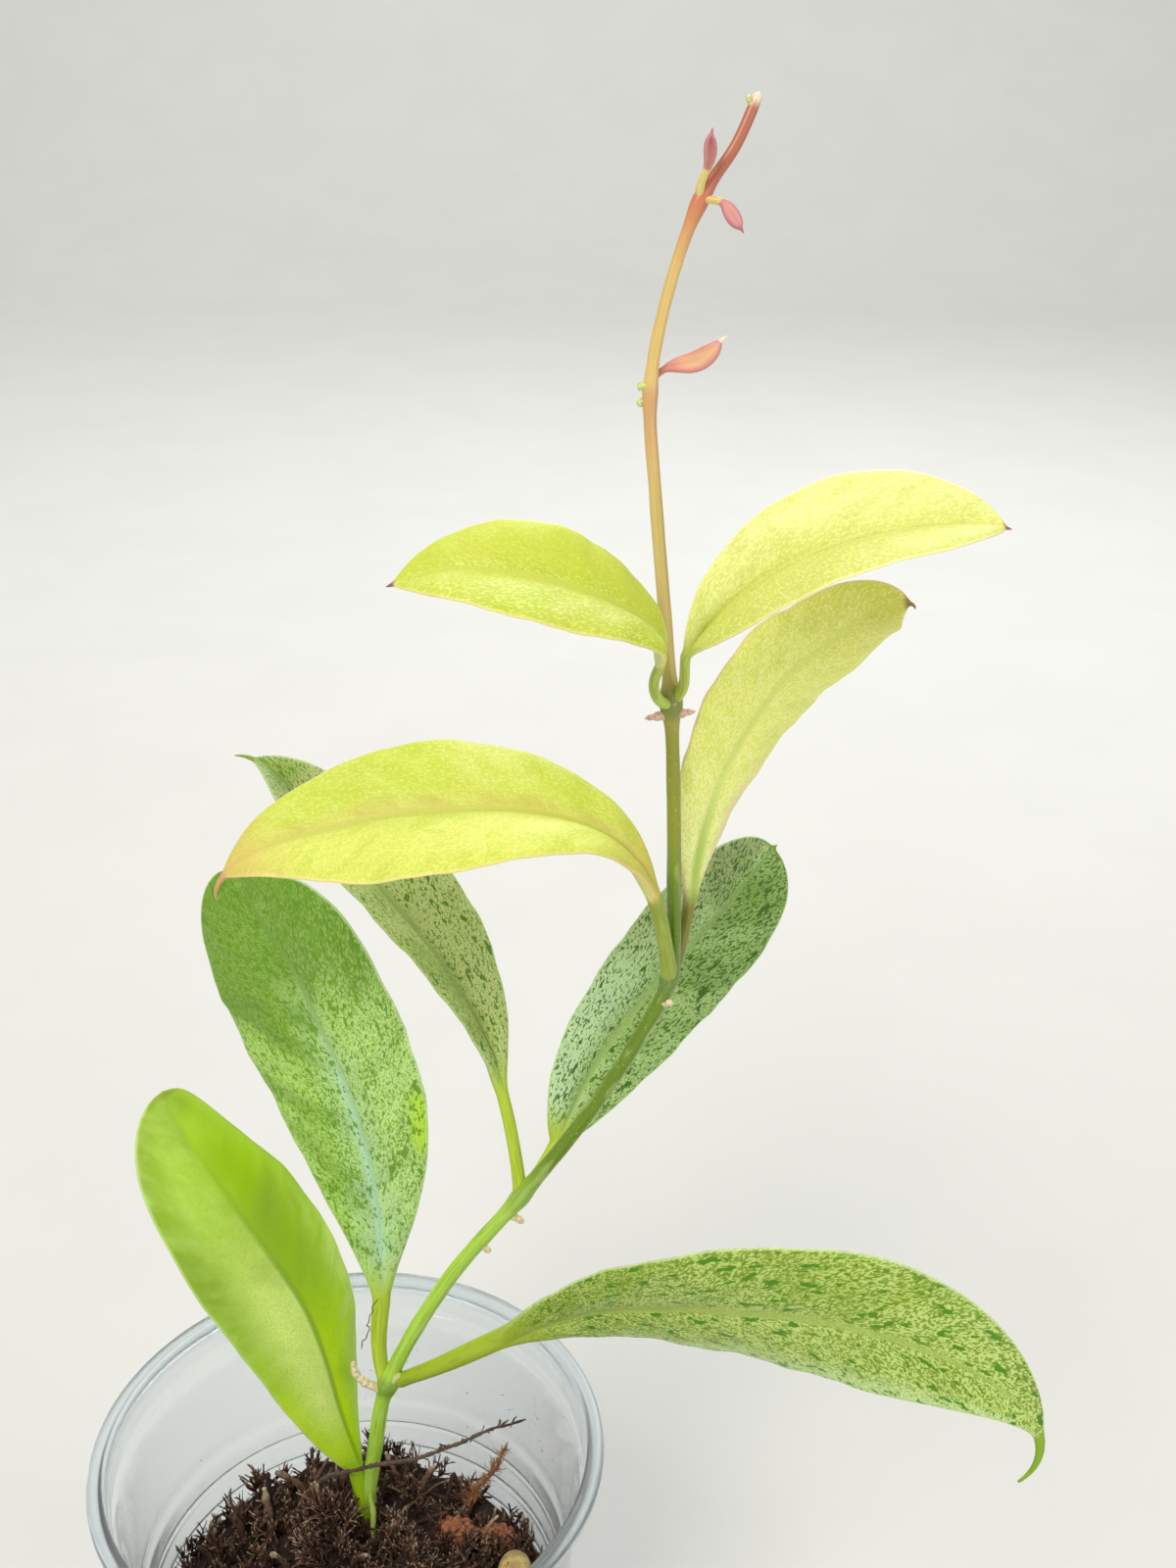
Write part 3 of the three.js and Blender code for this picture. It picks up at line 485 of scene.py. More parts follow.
def leaf_skin(leaf, steps, seed):
    """Loop angle t gives v = -cos t across; the point is midrib + side * w v cos(lean)
    + up * w |v| sin(lean), pushed out by the thickness, channel, rib, quilt and margin waves."""
    s, spot, up, side = (np.asarray(part)[:, None] for part in midrib(leaf, steps))
    half, stalk = leaf_outline(leaf, s)
    u = (s - leaf["petiole"]) / leaf["blade"]
    share = np.clip(u, 0, 1)

    t = np.linspace(0, 2 * np.pi, LEAF_LOOP, endpoint=False)[None]
    v = -np.cos(t)
    face = np.sign(np.round(np.sin(t), 6))
    opened = smooth((u + 0.02) / OPEN_BY)
    fold = np.radians(leaf["fold"][0] + (leaf["fold"][1] - leaf["fold"][0]) * share) * opened
    curl = LEAF_CURL * opened
    lean = fold - curl * np.abs(v) / 2
    tilt = (fold - curl * np.abs(v)) * np.tanh(v * 6)
    flatness = smooth(share / FLAT_BY) * (1 - smooth((share - FLAT_UNTIL) / (1 - FLAT_UNTIL)))
    flat = BLADE_THICKNESS / 2 * np.sqrt(1 - v ** 4)
    thick = stalk * np.sqrt(1 - v ** 2) * (1 - flatness) + flat * flatness

    across = half * v
    bare = smooth(share / 0.1) * (1 - share) ** 0.5 * min(1.0, leaf["width"] / 20)
    ridge = np.exp(-(across / CHANNEL_WIDTH) ** 2) * bare
    raised = np.where(face > 0, -CHANNEL_DEPTH * ridge, RIB_HEIGHT * ridge * (1 - RIB_FADE * share))
    thick = (thick + raised) * face

    wave = leaf["ripple"] * 2 * share * (1 - share) * v * v
    lift = wave * np.sin(share * LONG_WAVE + np.where(v > 0, LONG_WAVE_SHIFT, 0))
    short = np.sin(share * SHORT_WAVE + seed + np.where(v > 0, SHORT_WAVE_SHIFT, 0))
    lift = lift + SHORT_WAVE_SIZE * wave * short
    vein = s - VEIN_SLANT * np.abs(across)
    quilt = np.sin(2 * np.pi * vein / VEIN_SPACING + seed) * np.sin(np.pi * np.abs(v)) ** 2
    slow = np.sin(vein * QUILT_ALONG + across * QUILT_ACROSS + 2 * seed)
    quilt = quilt + SLOW_QUILT * slow * (1 - v * v)
    lift = lift + leaf["quilt"] * quilt * smooth(share / QUILT_FADE) * smooth((1 - share) / QUILT_FADE)

    sideways = across * np.cos(lean) - thick * np.sin(tilt)
    upwards = half * np.abs(v) * np.sin(lean) + thick * np.cos(tilt) + lift
    points = spot + side * sideways[..., None] + up * upwards[..., None]
    lay = np.stack(np.broadcast_arrays(vein, np.abs(across), np.sign(v) * 20 + seed * 7), axis=-1)
    marks = dict(share=share, side=v, face=face, rib=np.abs(across), rim=half * (1 - np.abs(v)), lay=lay)
    return points[None], {key: value[None] for key, value in marks.items()}


skin, marks = leaf_skin(LEAVES["leaf_0"], 200, 0)
print("leaf_0 spans", np.ptp(skin.reshape(-1, 3), axis=0).round(1), "mm")

# %% [markdown]
# Leaf of a wax plant: a living, waxy skin over flesh that lets some light through, so the shader has a
# satin gloss and a little subsurface scattering. What tells these leaves apart is their marking, a pile
# of layers on a ground colour. Each layer has a colour, a strength, and ramps that fade it in: by its
# place on the leaf, or by a noise read along the side veins. Cells of a Voronoi texture would have
# straight borders, while a noise that is cut off at a threshold is as ragged as the real flecks. `fine`
# makes the noises smaller.
#
# The sizes of the noises are in millimetres, along a side vein and across it. A fleck is close to a
# millimetre and a blot two or three. The air-filled cells under a leaf's silver and the pores in its
# skin are less than a tenth, too fine to show, so both are drawn a third of a millimetre wide. The
# third size only sets the two halves of a leaf, and one leaf and the next, apart.

# %% Leaf finish
LEAF_GRAINS = {"slow": ((9, 14, 1), 2), "weave": ((0.36, 0.27, 1), 2), "fleck": ((0.72, 0.48, 1), 2.5),
               "blot": ((2.9, 1.3, 1), 3), "stripe": ((6, 0.3, 1), 2), "wax": ((2.6, 2.6, 1), 3),
               "pores": ((0.35, 0.35, 1), 2)}


def leaf_finish(name, look):
    """Pattern first, then the tints of the rib, margin, underside, stalk and point, by place."""
    rib = ("rib", look.get("rib_width", 1.2), 0.1)
    layers = [
        *look["pattern"],
        (look["rib"], look.get("rib_strength", 0.5), rib, ("share", 1, 0.4)),
        (look["margin"], look.get("margin_strength", 0.6), ("rim", 0.45, 0.1)),
        (look["under"], 0.8, ("face", 0.2, -0.2)),
        (look["stalk"], 1, ("share", look.get("stalk_end", 0.07), 0)),
        (look["stripes"], 0.35, ("share", 0.06, 0), ("stripe", 0.5, 0.62)),
        (look["point"], 1, ("share", 0.985, 1)),
    ]
    dull, fine = look.get("dull", 0.42), look.get("fine", 1)
    grains = {key: (tuple(size * fine for size in sizes), detail)
              for key, (sizes, detail) in LEAF_GRAINS.items()}
    return layered_finish(
        name, look["ground"], layers, grains, ("share", "side", "face", "rib", "rim"), "lay",
        look.get("mottle_and_shade", ()), {"weave": -0.06, "fleck": 0.05, "blot": 0.03},
        ("wax", dull - 0.08, dull + 0.1), ("pores", 0.3, 0.06), IOR=1.45, Specular_IOR_Level=0.3,
        Coat_Weight=0.06, Coat_Roughness=0.3, Subsurface_Weight=look.get("glow", 0.1),
        Subsurface_Radius=(0.5, 1, 0.2), Subsurface_Scale=1.5 * MM)


print("a leaf's noises are", ", ".join(LEAF_GRAINS))

# %% [markdown]
# The grown leaves are green under a silvery weave, broken by dark flecks and a few blots. All three are
# noises cut off at a threshold, and the threshold drifts from one part of the blade to another: with a
# slow noise, which is their own mottle, and with painted shade, which gives one half and one end of the
# blade less silver, more flecks and a deeper green. One finish for all of them would be shorter, but on
# the plant each has tones of its own, so they share the order of the layers and little else. The leaf at
# the plant's foot has no silver. Its two halves are painted as if lit and shaded: one is pale by the rib,
# a painted highlight, and darker at its margin, a painted shade; the other is painted a deeper, shaded
# green by the rib and is pale at its margin. Its lower part is painted brighter and more saturated, as if
# lit, and a dark line along its rib is painted crease shade.

# %% Grown leaves' markings
def flecked(deep, silver, fleck, blot, *tints, weave=0.44, flecks=0.6, blots=0.64):
    """The marking of a grown leaf: the silver weave, a deeper green by the slow sum (partly painted
    shade), tints, flecks, blots.
    """
    return [(silver, 0.85, ("weave", weave, weave + 0.05)), (deep, 0.6, ("mottle_and_shade", 0.2, 1)), *tints,
            (fleck, 0.85, ("fleck", flecks, flecks + 0.015)), (blot, 0.95, ("blot", blots, blots + 0.01))]


FLECKED = dict(ground="#8fb052", rib="#a4bd68", margin="#cfe6b4", stalk="#b2c83a", stripes="#8a8434",
               point="#7f9a30", under="#a9bd7c", stalk_end=0.12)
# Slow sums: side and share steps paint shade on one half and one end; slow-noise steps are real mottle.
GROWN_LOOKS = {
    "leaf_0": dict(
        # Painted crease shade: the rib colour is a dark line along the fold.
        ground="#a6ca3e", rib="#6f9606", margin="#c4dc8c", stalk="#a8cc1c", stripes="#8fb01c",
        point="#8ca02c", under="#b9cf74", glow=0.14, dull=0.45, rib_width=0.75, rib_strength=0.6,
        pattern=[
            # Painted shade: the right half, the shaded side of the fold, is a more saturated green.
            ("#b0d800", 0.9, ("side", -0.04, 0.06)),
            ("#9cbc40", 0.6, ("share", 0.75, 0.95)),
            # Painted light: the lower part is a brighter, more saturated green.
            ("#d0f400", 0.7, ("share", 0.55, 0.2)),
            # Painted highlight: the left half is pale by the rib.
            ("#e8fc88", 0.9, ("side", -0.9, -0.35), ("side", 0.04, -0.06), ("share", 0.8, 0.5),
             ("share", 0.1, 0.26)),
            # Painted shade: the outer left half is darker towards the tip.
            ("#789818", 0.75, ("side", -0.4, -0.9), ("share", 0.5, 0.7)),
            ("#d6ee84", 0.6, ("side", 0.35, 0.85), ("share", 0.9, 0.5), ("wax", 0.3, 0.6)),
            # Painted shade: the right half is a deep green by the rib.
            ("#88b000", 0.7, ("side", -0.02, 0.05), ("side", 0.9, 0.3), ("share", 0.35, 0.6),
             ("share", 0.93, 0.82)),
            ("#86a42c", 0.4, ("slow", 0.42, 0.66), ("share", 0.4, 0.6)),
            ("#c2e070", 0.3, ("wax", 0.66, 0.3), ("side", 0.1, -0.2)),
            ("#90b61c", 0.25, ("weave", 0.5, 0.6)),
            ("#c0e254", 0.5, ("rim", 3.2, 0.5), ("side", 0, 0.4))]),
    "leaf_1_left": dict(
        FLECKED, ground="#8fba40", rib_strength=0, stalk_end=0.13,
        pattern=flecked(
            "#4c7600", "#b6d67c", "#5e8c1a", "#6f9c30",
            ("#cdeaa8", 0.45, ("side", -0.2, 0.5), ("share", 0.95, 0.5), ("weave", 0.42, 0.46)),
            ("#b0d0a8", 0.7, ("rib", 5.5, 0.8), ("share", 0.85, 0.35), ("stripe", 0.3, 0.56)),
            ("#b4dcd0", 0.5, ("rib", 1.2, 0.1), ("share", 0.8, 0.4)),
            ("#6a9800", 0.75, ("side", -0.06, -0.2), ("side", -0.6, -0.35), ("share", 0.15, 0.3),
             ("share", 0.62, 0.5), ("weave", 0.5, 0.44)),
            ("#b8e030", 0.75, ("side", 0.7, 0.85), ("share", 0.3, 0.36), ("share", 0.5, 0.44)),
            weave=0.43),
        mottle_and_shade=[("slow", 0.4, 0.62, 0.5), ("share", 0.5, 0.85, 0.8), ("side", 0.2, -0.6, 0.15)]),
    "leaf_1_right": dict(
        FLECKED, ground="#7c9630", rib="#a9b858", margin="#d2e6ac", point="#84a81c", stalk="#a5ba36",
        stalk_end=0.2,
        pattern=flecked(
            "#84a02c", "#c0d67c", "#5d8210", "#458000",
            ("#c6e2a4", 0.6, ("side", 0.5, 0.95), ("share", 0.1, 0.3)),
            weave=0.45, flecks=0.615, blots=0.62),
        mottle_and_shade=[("slow", 0.4, 0.65, 0.4), ("side", 0.1, -0.9, 0.35), ("share", 0.3, 0.0, 0.3)]),
    "leaf_2_left": dict(
        FLECKED, ground="#96ac48", margin="#b9cf90", fine=0.75,
        pattern=flecked(
            "#6f8c22", "#c0cc8a", "#54781a", "#4f7c12",
            ("#c4b494", 0.7, ("share", 0.8, 0.84), ("share", 0.92, 0.88), ("fleck", 0.5, 0.54)),
            weave=0.42, flecks=0.585),
        mottle_and_shade=[("slow", 0.4, 0.65, 0.3), ("side", 0.1, -0.4, 0.3), ("share", 0.7, 0.95, 0.6)]),
    "leaf_2_right": dict(
        FLECKED, ground="#90b04c", margin="#c2dca0", fine=0.72,
        pattern=flecked(
            "#5c7e26", "#b9d698", "#3a6408", "#3a6806",
            # Painted sheen: a pale mint tint over one half, towards the base.
            ("#d2ecc0", 0.65, ("side", -0.1, -0.7), ("share", 0.7, 0.35)),
            ("#aaa284", 0.35, ("side", -0.1, -0.5), ("share", 0.5, 0.7)),
            weave=0.42, flecks=0.575),
        mottle_and_shade=[("slow", 0.4, 0.65, 0.35), ("side", -0.1, 0.3, 0.35), ("share", 0.6, 0.95, 0.35)]),
}
print(len(GROWN_LOOKS), "grown leaves described")

# %% [markdown]
# The young leaves have no silver yet. They are lime and soft, so more light goes through them, and they
# are mottled: faint blotches, and a weave of which the dark and the pale meshes both show. The grown
# leaves' layers in paler colours would keep the flecks that come with age, so these leaves have layers of
# their own. The newest ones are pink with the red pigment that shields them until their green has formed.

# %% Young leaves' markings
def mottled(blotch, dark, pale, below, above, blotches=0.48):
    """The marking of a young leaf: tints, then blotches, dark and pale weave, then tints on top."""
    return [*below, (*blotch, ("wax", blotches, 0.66)), (*dark, ("weave", 0.5, 0.58)),
            (*pale, ("weave", 0.46, 0.4)), *above]


LIME = dict(ground="#dde468", rib="#cdd25c", margin="#ecdf94", stalk="#9cae48", stripes="#7c7a34",
            point="#9c7a5c", under="#e0e28c", glow=0.18, dull=0.46, rib_strength=0.35)
PINK = dict(ground="#e0a48c", rib="#d3937c", margin="#ecb8a0", stalk="#dccd84", stripes="#c48c68",
            point="#c0607c", under="#dca894", glow=0.2, dull=0.4,
            pattern=[("#cc7a78", 0.5, ("slow", 0.4, 0.6))])
YOUNG_LOOKS = {
    "leaf_3_left": dict(
        LIME, ground="#c8d060", margin="#e6cf94", rib="#a8b234", rib_strength=0.4, rib_width=0.7,
        stalk_end=0.03, point="#c89c70",
        pattern=mottled(
            ("#b0c030", 0.4), ("#b4c234", 0.3), ("#e6e888", 0.3),
            [("#bccc3c", 0.6, ("slow", 0.4, 0.62), ("side", 0.1, 0.4)), ("#d6da62", 0.6, ("side", 0, -0.4))],
            [("#c6ae62", 0.5, ("side", 0, 0.06), ("side", 0.36, 0.1), ("wax", 0.25, 0.6)),
             ("#cfa868", 0.6, ("share", 0.82, 1)), ("#cdb45c", 0.6, ("share", 0.25, 0.05))])),
    "leaf_3_right": dict(
        LIME, ground="#f0f284", margin="#e8cba6", stalk="#8c8a3c", stripes="#6a4c34", rib="#b4cc50",
        rib_strength=0.3, point="#a87c54",
        pattern=mottled(
            ("#ccd64a", 0.3), ("#c8d44c", 0.35), ("#fbfbc8", 0.45),
            [("#dcd24c", 0.6, ("share", 0.6, 0.95)), ("#f4fab0", 0.7, ("share", 0.45, 0.1))],
            [("#9fc23c", 0.7, ("rib", 1.4, 0.2), ("share", 0.34, 0.12)),
             ("#ecd0a8", 0.6, ("side", 0.4, 0.8), ("share", 0.5, 0.2))])),
    "leaf_4_left": dict(
        # Painted light: the stalk is lighter than the other lime stalks, where the leaves above shade it.
        LIME, ground="#c4cc50", point="#946074", stalk="#bccc60",
        pattern=mottled(
            ("#aebf38", 0.4), ("#aebe34", 0.35), ("#eaee90", 0.4),
            [("#b9cc38", 0.65, ("slow", 0.42, 0.6)), ("#dce070", 0.35, ("share", 0.6, 1))],
            [("#c2cc40", 0.6, ("side", 0, 0.4))], blotches=0.46)),
    "leaf_4_right": dict(
        # Painted light: the stalk is lighter than the other lime stalks, where the leaves above shade it.
        LIME, ground="#dcdf7c", margin="#f4f0b8", point="#a4605c", stalk="#bccc60",
        pattern=mottled(
            ("#c2cb58", 0.35), ("#c4ce5c", 0.35), ("#fafab8", 0.35),
            [("#cdd268", 0.6, ("side", 0.0, 0.3)), ("#eef09a", 0.7, ("side", 0.0, -0.6))],
            [("#b9c250", 0.5, ("share", 0.2, 0.0))])),
    "leaf_5_right": dict(
        PINK, ground="#e6c492", margin="#cf8488", stalk="#cc8a80", point="#e8dccc", margin_strength=0.8,
        pattern=[("#d58c84", 0.75, ("rim", 1.1, 0.3)), ("#d08480", 0.8, ("share", 0.4, 0.1))]),
    "leaf_6_left": dict(
        PINK, ground="#a8586a", margin="#cf9a94", pattern=[("#94486a", 0.6, ("slow", 0.4, 0.6))]),
    "leaf_6_right": dict(PINK, ground="#dc9a9c", margin="#b4647c"),
}
print(len(YOUNG_LOOKS), "young leaves described")

# %% [markdown]
# Each leaf then is three calls: the skin, the finish, and its place in the frame. The small leaves near
# the tip need fewer rows.

# %% Leaves
LEAF_SLOTS = ["leaf_plain"] + ["leaf_flecked"] * 2 + ["leaf_lime"] * 2 + ["leaf_pink"] * 2
LEAF_ROWS, SMALL_LEAF_ROWS, SMALL_BLADE = 210, 60, 20
LOOKS = GROWN_LOOKS | YOUNG_LOOKS

for number, (name, leaf) in enumerate(LEAVES.items()):
    skin, marks = leaf_skin(leaf, LEAF_ROWS if leaf["blade"] > SMALL_BLADE else SMALL_LEAF_ROWS, number)
    finish = leaf_finish(name + "_waxy_skin", LOOKS[name])
    slot = LEAF_SLOTS[int(name.split("_")[1])]
    faces = stand_in(skin_mesh(name + "_blade", skin, **marks), finish, slot, name)
    print(name, "has", faces, "faces")

# %% [markdown]
# The stem is a round shoot that swells a little at each joint, where leaves and roots leave it. Its
# path is a smooth curve through the same points as the CAD stem. A curve object with a round bevel
# would be quicker, but its girth can't vary round it. A tube along a path needs a frame that doesn't
# spin, so one fixed direction is made square to each heading.

# %% Paths and tubes
def curve_through(path, count):
    """Centripetal curve through the points: knots are the running sum of the square roots of the
    gaps, each coordinate is a cubic through them, and the result is read at even steps of length."""
    path = np.asarray(path, float)
    knots = np.append(0, np.cumsum(np.sqrt(np.linalg.norm(np.diff(path, axis=0), axis=1))))
    fine = np.linspace(0, knots[-1], count * 4)
    dense = np.stack([through(knots, path[:, axis], fine) for axis in range(3)], axis=-1)
    walked = np.append(0, np.cumsum(np.linalg.norm(np.diff(dense, axis=0), axis=1)))
    even = np.linspace(0, walked[-1], count)
    return np.stack([np.interp(even, walked, dense[:, axis]) for axis in range(3)], axis=-1)


def tube_skin(path, radius, loop):
    """Rings of loop points round each path: centre - radius (cos t * side + sin t * up), where side
    is square to the heading and to whichever of Y or Z the path runs less along."""
    along = unit(np.gradient(path, axis=-2))
    steep = np.abs(along.mean(axis=-2, keepdims=True)[..., 2:]) > 0.8
    side = unit(np.cross(along, np.where(steep, [0.0, 1.0, 0.0], [0.0, 0.0, 1.0])))
    up = np.cross(along, side)
    t = np.linspace(0, 2 * np.pi, loop, endpoint=False)
    ring = np.cos(t)[:, None] * side[..., None, :] + np.sin(t)[:, None] * up[..., None, :]
    radius = np.asarray(radius, float)
    if radius.ndim < path.ndim:
        radius = radius[..., None]
    return path[..., None, :] - radius[..., None] * ring


def rounded_ends(count, first, last, reach=3):
    """A factor along a tube that closes either end with a quarter circle over reach steps."""
    k = np.arange(count)
    start = np.clip(k / reach, 0, 1) if first else np.ones(count)
    stop = np.clip((count - 1 - k) / reach, 0, 1) if last else np.ones(count)
    return np.sqrt(1 - (1 - start) ** 2) * np.sqrt(1 - (1 - stop) ** 2) + 1e-3


print("a curve through 3 points ends at", curve_through([(0, 0, 0), (1, 0, 1), (2, 0, 4)], 5)[-1])

# %% [markdown]
# Balls set on the stem would leave a crease at each joint. Here the radius itself bulges, at each joint
# by an amount of its own, so that the swelling flows into the stem. The radius also tapers upwards and is
# a little uneven all over, as a grown thing is.

# %% Stem shape
STEM_PATH = [
    (-3.5, 14.5, 18), (-2, 13.5, 31), JOINT["base"], (2, 11, 59), JOINT["first"], (15, 8.5, 95.5),
    JOINT["second"], (35, 6.5, 125.5), (43, 5.5, 140.5), JOINT["third"], (46.8, 5.5, 163.5),
    JOINT["fourth"], (45, 9, 200), (43.8, 11, 213), JOINT["fifth"], (44.5, 14, 235), JOINT["sixth"],
    (52.5, 16, 253), JOINT["tip"],
]
STEM_RADII, STEM_TAPER, STEM_LENGTH = (1.25, 0.65), 1.3, 260
SWELLINGS, SWELLING_LENGTH = (0.55, 0.35, 0.35, 0.65, 0.2, 0.35), 2.2
KNOBBLY, KNOB_PACE, KNOB_GROUPS = 0.025, 190, 47
STEM_ROWS, STEM_LOOP = 620, 28


def stem_skin():
    """Radius = (taper + a bell at each joint) * (1 + short waves along the stem + three and seven
    waves round it, which wind slowly upwards)."""
    path = curve_through(STEM_PATH, STEM_ROWS)
    share = np.linspace(0, 1, STEM_ROWS)
    joints = np.array(list(JOINT.values())[1:-1], float)
    apart = np.linalg.norm(path[:, None] - joints[None], axis=2)
    near = apart.min(axis=1)
    radius = STEM_RADII[0] + (STEM_RADII[1] - STEM_RADII[0]) * share ** STEM_TAPER
    radius = radius + np.exp(-(apart / SWELLING_LENGTH) ** 2) @ np.array(SWELLINGS)
    radius = radius * (1 + KNOBBLY * np.sin(share * KNOB_PACE) * np.sin(share * KNOB_GROUPS + 1))
    radius = radius * rounded_ends(STEM_ROWS, True, True, 2)
    t = np.linspace(0, 2 * np.pi, STEM_LOOP, endpoint=False)[None]
    share = share[:, None]
    uneven = 1 + 0.03 * np.sin(3 * t + 9 * share) + 0.015 * np.sin(7 * t + 31 * share)
    skin = tube_skin(path, radius[:, None] * uneven, STEM_LOOP)
    lay = np.stack(np.broadcast_arrays(share * STEM_LENGTH, np.cos(t), np.sin(t)), axis=-1)
    marks = dict(height=share, joint=near[:, None] + 0 * t, lay=lay)
    return skin[None], {key: value[None] for key, value in marks.items()}


skin, marks = stem_skin()
print("the stem's top is at", skin[..., 2].max().round(1), "mm")

# %% [markdown]
# Young shoot of a climber: its skin is smooth and alive, so it shines softly. Its foot is a fresh yellow
# green that deepens upwards. Then it turns olive and tan, and its growing end is orange-pink with a dried
# cream tip. One colour ramp could give these stages, but not what crosses them, so each stage is a layer,
# as the rest is. The joints halfway up are a greyer green and the first a deeper one, a pink band lies
# under the fifth, and fine lengthwise streaks break the colour. `joint` is the distance to the nearest
# joint in millimetres and `height` the share of the stem's length. The noises are sized in millimetres
# along the stem and in parts of its radius across it.

# %% Stem finish
STEM_STAGES = [(0.0, 0.1, "#add548"), (0.37, 0.43, "#648308"), (0.6, 0.66, "#8e9420"),
               (0.68, 0.74, "#ccb86c"), (0.78, 0.87, "#dcc074"), (0.91, 0.955, "#cc7458"),
               (0.94, 0.98, "#b2684f"), (0.992, 0.998, "#efe2c4")]
STEM_GRAINS = {"streak": ((9, 0.16, 0.16), 3), "speck": ((0.5, 0.2, 0.2), 2), "patch": ((6, 1.2, 1.2), 1)}


def shoot_finish(name, stages):
    """Living shoot skin: colour by height, darker streaks, pale patches, tinted joints, specks."""
    layers = [(shade, 1, ("height", low, high)) for low, high, shade in stages]
    layers += [("#6d8a22", 0.5, ("streak", 0.5, 0.66), ("height", 0.75, 0.6)),
               ("#b87a58", 0.4, ("streak", 0.5, 0.66), ("height", 0.6, 0.8)),
               ("#c8d888", 0.3, ("patch", 0.55, 0.7), ("height", 0.7, 0.6)),
               ("#627f38", 0.7, ("joint", 3, 0.8), ("height", 0.3, 0.6), ("height", 0.8, 0.7)),
               ("#5a8418", 0.6, ("joint", 2.6, 0.8), ("height", 0.34, 0.28)),
               ("#cc8c68", 0.55, ("height", 0.81, 0.855), ("height", 0.866, 0.858)),
               ("#d8e4a4", 0.5, ("speck", 0.66, 0.72), ("height", 0.85, 0.7))]
    return layered_finish(name, "#7f9c2e", layers, STEM_GRAINS, ("height", "joint"), "lay",
                          rough=("streak", 0.3, 0.5), relief=("streak", 0.3, 0.06), IOR=1.45,
                          Coat_Weight=0.4, Coat_Roughness=0.22, Subsurface_Weight=0.08,
                          Subsurface_Scale=1 * MM)


shoot = shoot_finish("young_shoot_skin", STEM_STAGES)
print("stem of", stand_in(skin_mesh("climbing_stem", skin, **marks), shoot, "stem_skin", "stem"), "faces")

# %% [markdown]
# Where a joint can root, the plant pushes out cream stubs, and one has grown into a short curved root.
# Dry bud scales sit beside them. Each could be sculpted, but all are so small that a short tube out of
# the stem with a rough, lumpy skin will do. It is given here by its slot, its radius at both ends and its
# path.

# %% Roots and buds
SHOOTS = {
    "aerial_root": ("root_skin", (0.8, 0.5),
                    [(4.6, 9.4, 73.4), (2.2, 9, 74.6), (0.4, 8.8, 76.8), (-0.1, 8.8, 79.4)]),
    "bud_1": ("bud_scale", (0.75, 0.5), [(5.2, 9.2, 75), (7.2, 8, 77.5)]),
    "root_stub_2_upper": ("root_skin", (0.6, 0.5), [(23.8, 7.6, 108.6), (26.4, 7.4, 106.9)]),
    "root_stub_2_lower": ("root_skin", (0.6, 0.45), [(19.6, 8, 103), (21.4, 7.6, 101.3)]),
    "root_stub_3": ("root_skin", (0.6, 0.45), [(45, 5, 145.6), (46.9, 4, 146.2)]),
    "root_stub_4_left": ("root_skin", (0.9, 0.2), [(45.8, 7.4, 186.4), (42.7, 6.9, 186)]),
    "root_stub_4_right": ("root_skin", (0.9, 0.2), [(46.2, 7.4, 186.4), (49.1, 6.9, 187)]),
    "bud_5_upper": ("bud_scale", (0.65, 0.5), [(43, 13, 226), (41.5, 12.8, 226.3)]),
    "bud_5_lower": ("bud_scale", (0.6, 0.5), [(43, 13, 224.6), (41.4, 12.8, 224.2)]),
    "bud_tip": ("bud_scale", (0.4, 0.25), [(54.2, 16.8, 256.9), (53.6, 16, 258.2)]),
}
SHOOT_ROWS, SHOOT_LOOP = 40, 16
SHOOT_LUMPS = ((0.1, 21), (0.06, 47))


def dry_finish(name, pale, dark, spots, grain_mm, dull):
    """Dry plant skin or fired clay: two tones, dark spots and a relief from noises of a real size."""
    return layered_finish(
        name, pale, [(dark, 0.8, ("grain", 0.58, 0.4)), (spots, 0.7, ("spot", 0.62, 0.7))],
        {"grain": (grain_mm, 4), "spot": (grain_mm * 0.6, 2)}, rough=("grain", dull - 0.1, dull + 0.1),
        relief=("grain", 0.6, 0.25 * grain_mm))


DRY_SKINS = {
    # Air root: corky and dull, cream where it is new, with tan wrinkles and brown dried spots.
    "root_skin": dry_finish("cream_root_skin", "#e6dcb6", "#c4ae88", "#a98a6c", 0.6, 0.7),
    # Bud scale: a papery flake, still yellow-green, with brown spots where it has dried.
    "bud_scale": dry_finish("dry_bud_scale", "#dce0a0", "#b8c06c", "#a8885c", 0.5, 0.65),
    # Young stub: a root that has just broken the skin, so it is pink like the shoot and less dull.
    "young_stub": dry_finish("pinkish_young_stub", "#e4c4b0", "#c49c84", "#a07864", 0.5, 0.6),
}
share = np.linspace(0, 1, SHOOT_ROWS)
for name, (slot, radii, path) in SHOOTS.items():
    (slow, slow_pace), (quick, quick_pace) = SHOOT_LUMPS
    lumps = 1 + slow * np.sin(share * slow_pace + len(name)) + quick * np.sin(share * quick_pace)
    radius = (radii[0] + (radii[1] - radii[0]) * share) * lumps * rounded_ends(SHOOT_ROWS, False, True, 5)
    skin = tube_skin(curve_through(path, SHOOT_ROWS), radius, SHOOT_LOOP)
    finish = DRY_SKINS["young_stub" if "stub_4" in name else slot]
    stand_in(skin_mesh(name + "_shoot", skin[None]), finish, slot, name)
print(len(SHOOTS), "roots and buds")

# %% [markdown]
# The cup is thin clear polypropylene, drawn warm into a mould: a flat rim with a rolled edge, a ledge
# that keeps stacked cups apart, a shoulder, and faint rings lower down. It could be a cylinder with loop
# cuts, but a profile keeps each height and the wall's thickness as a number. It is a list of corners in
# radius and height. Cutting each corner twice at a quarter and three quarters of its sides rounds it, as
# the plastic would, and turning the profile round the axis gives both faces of the wall.

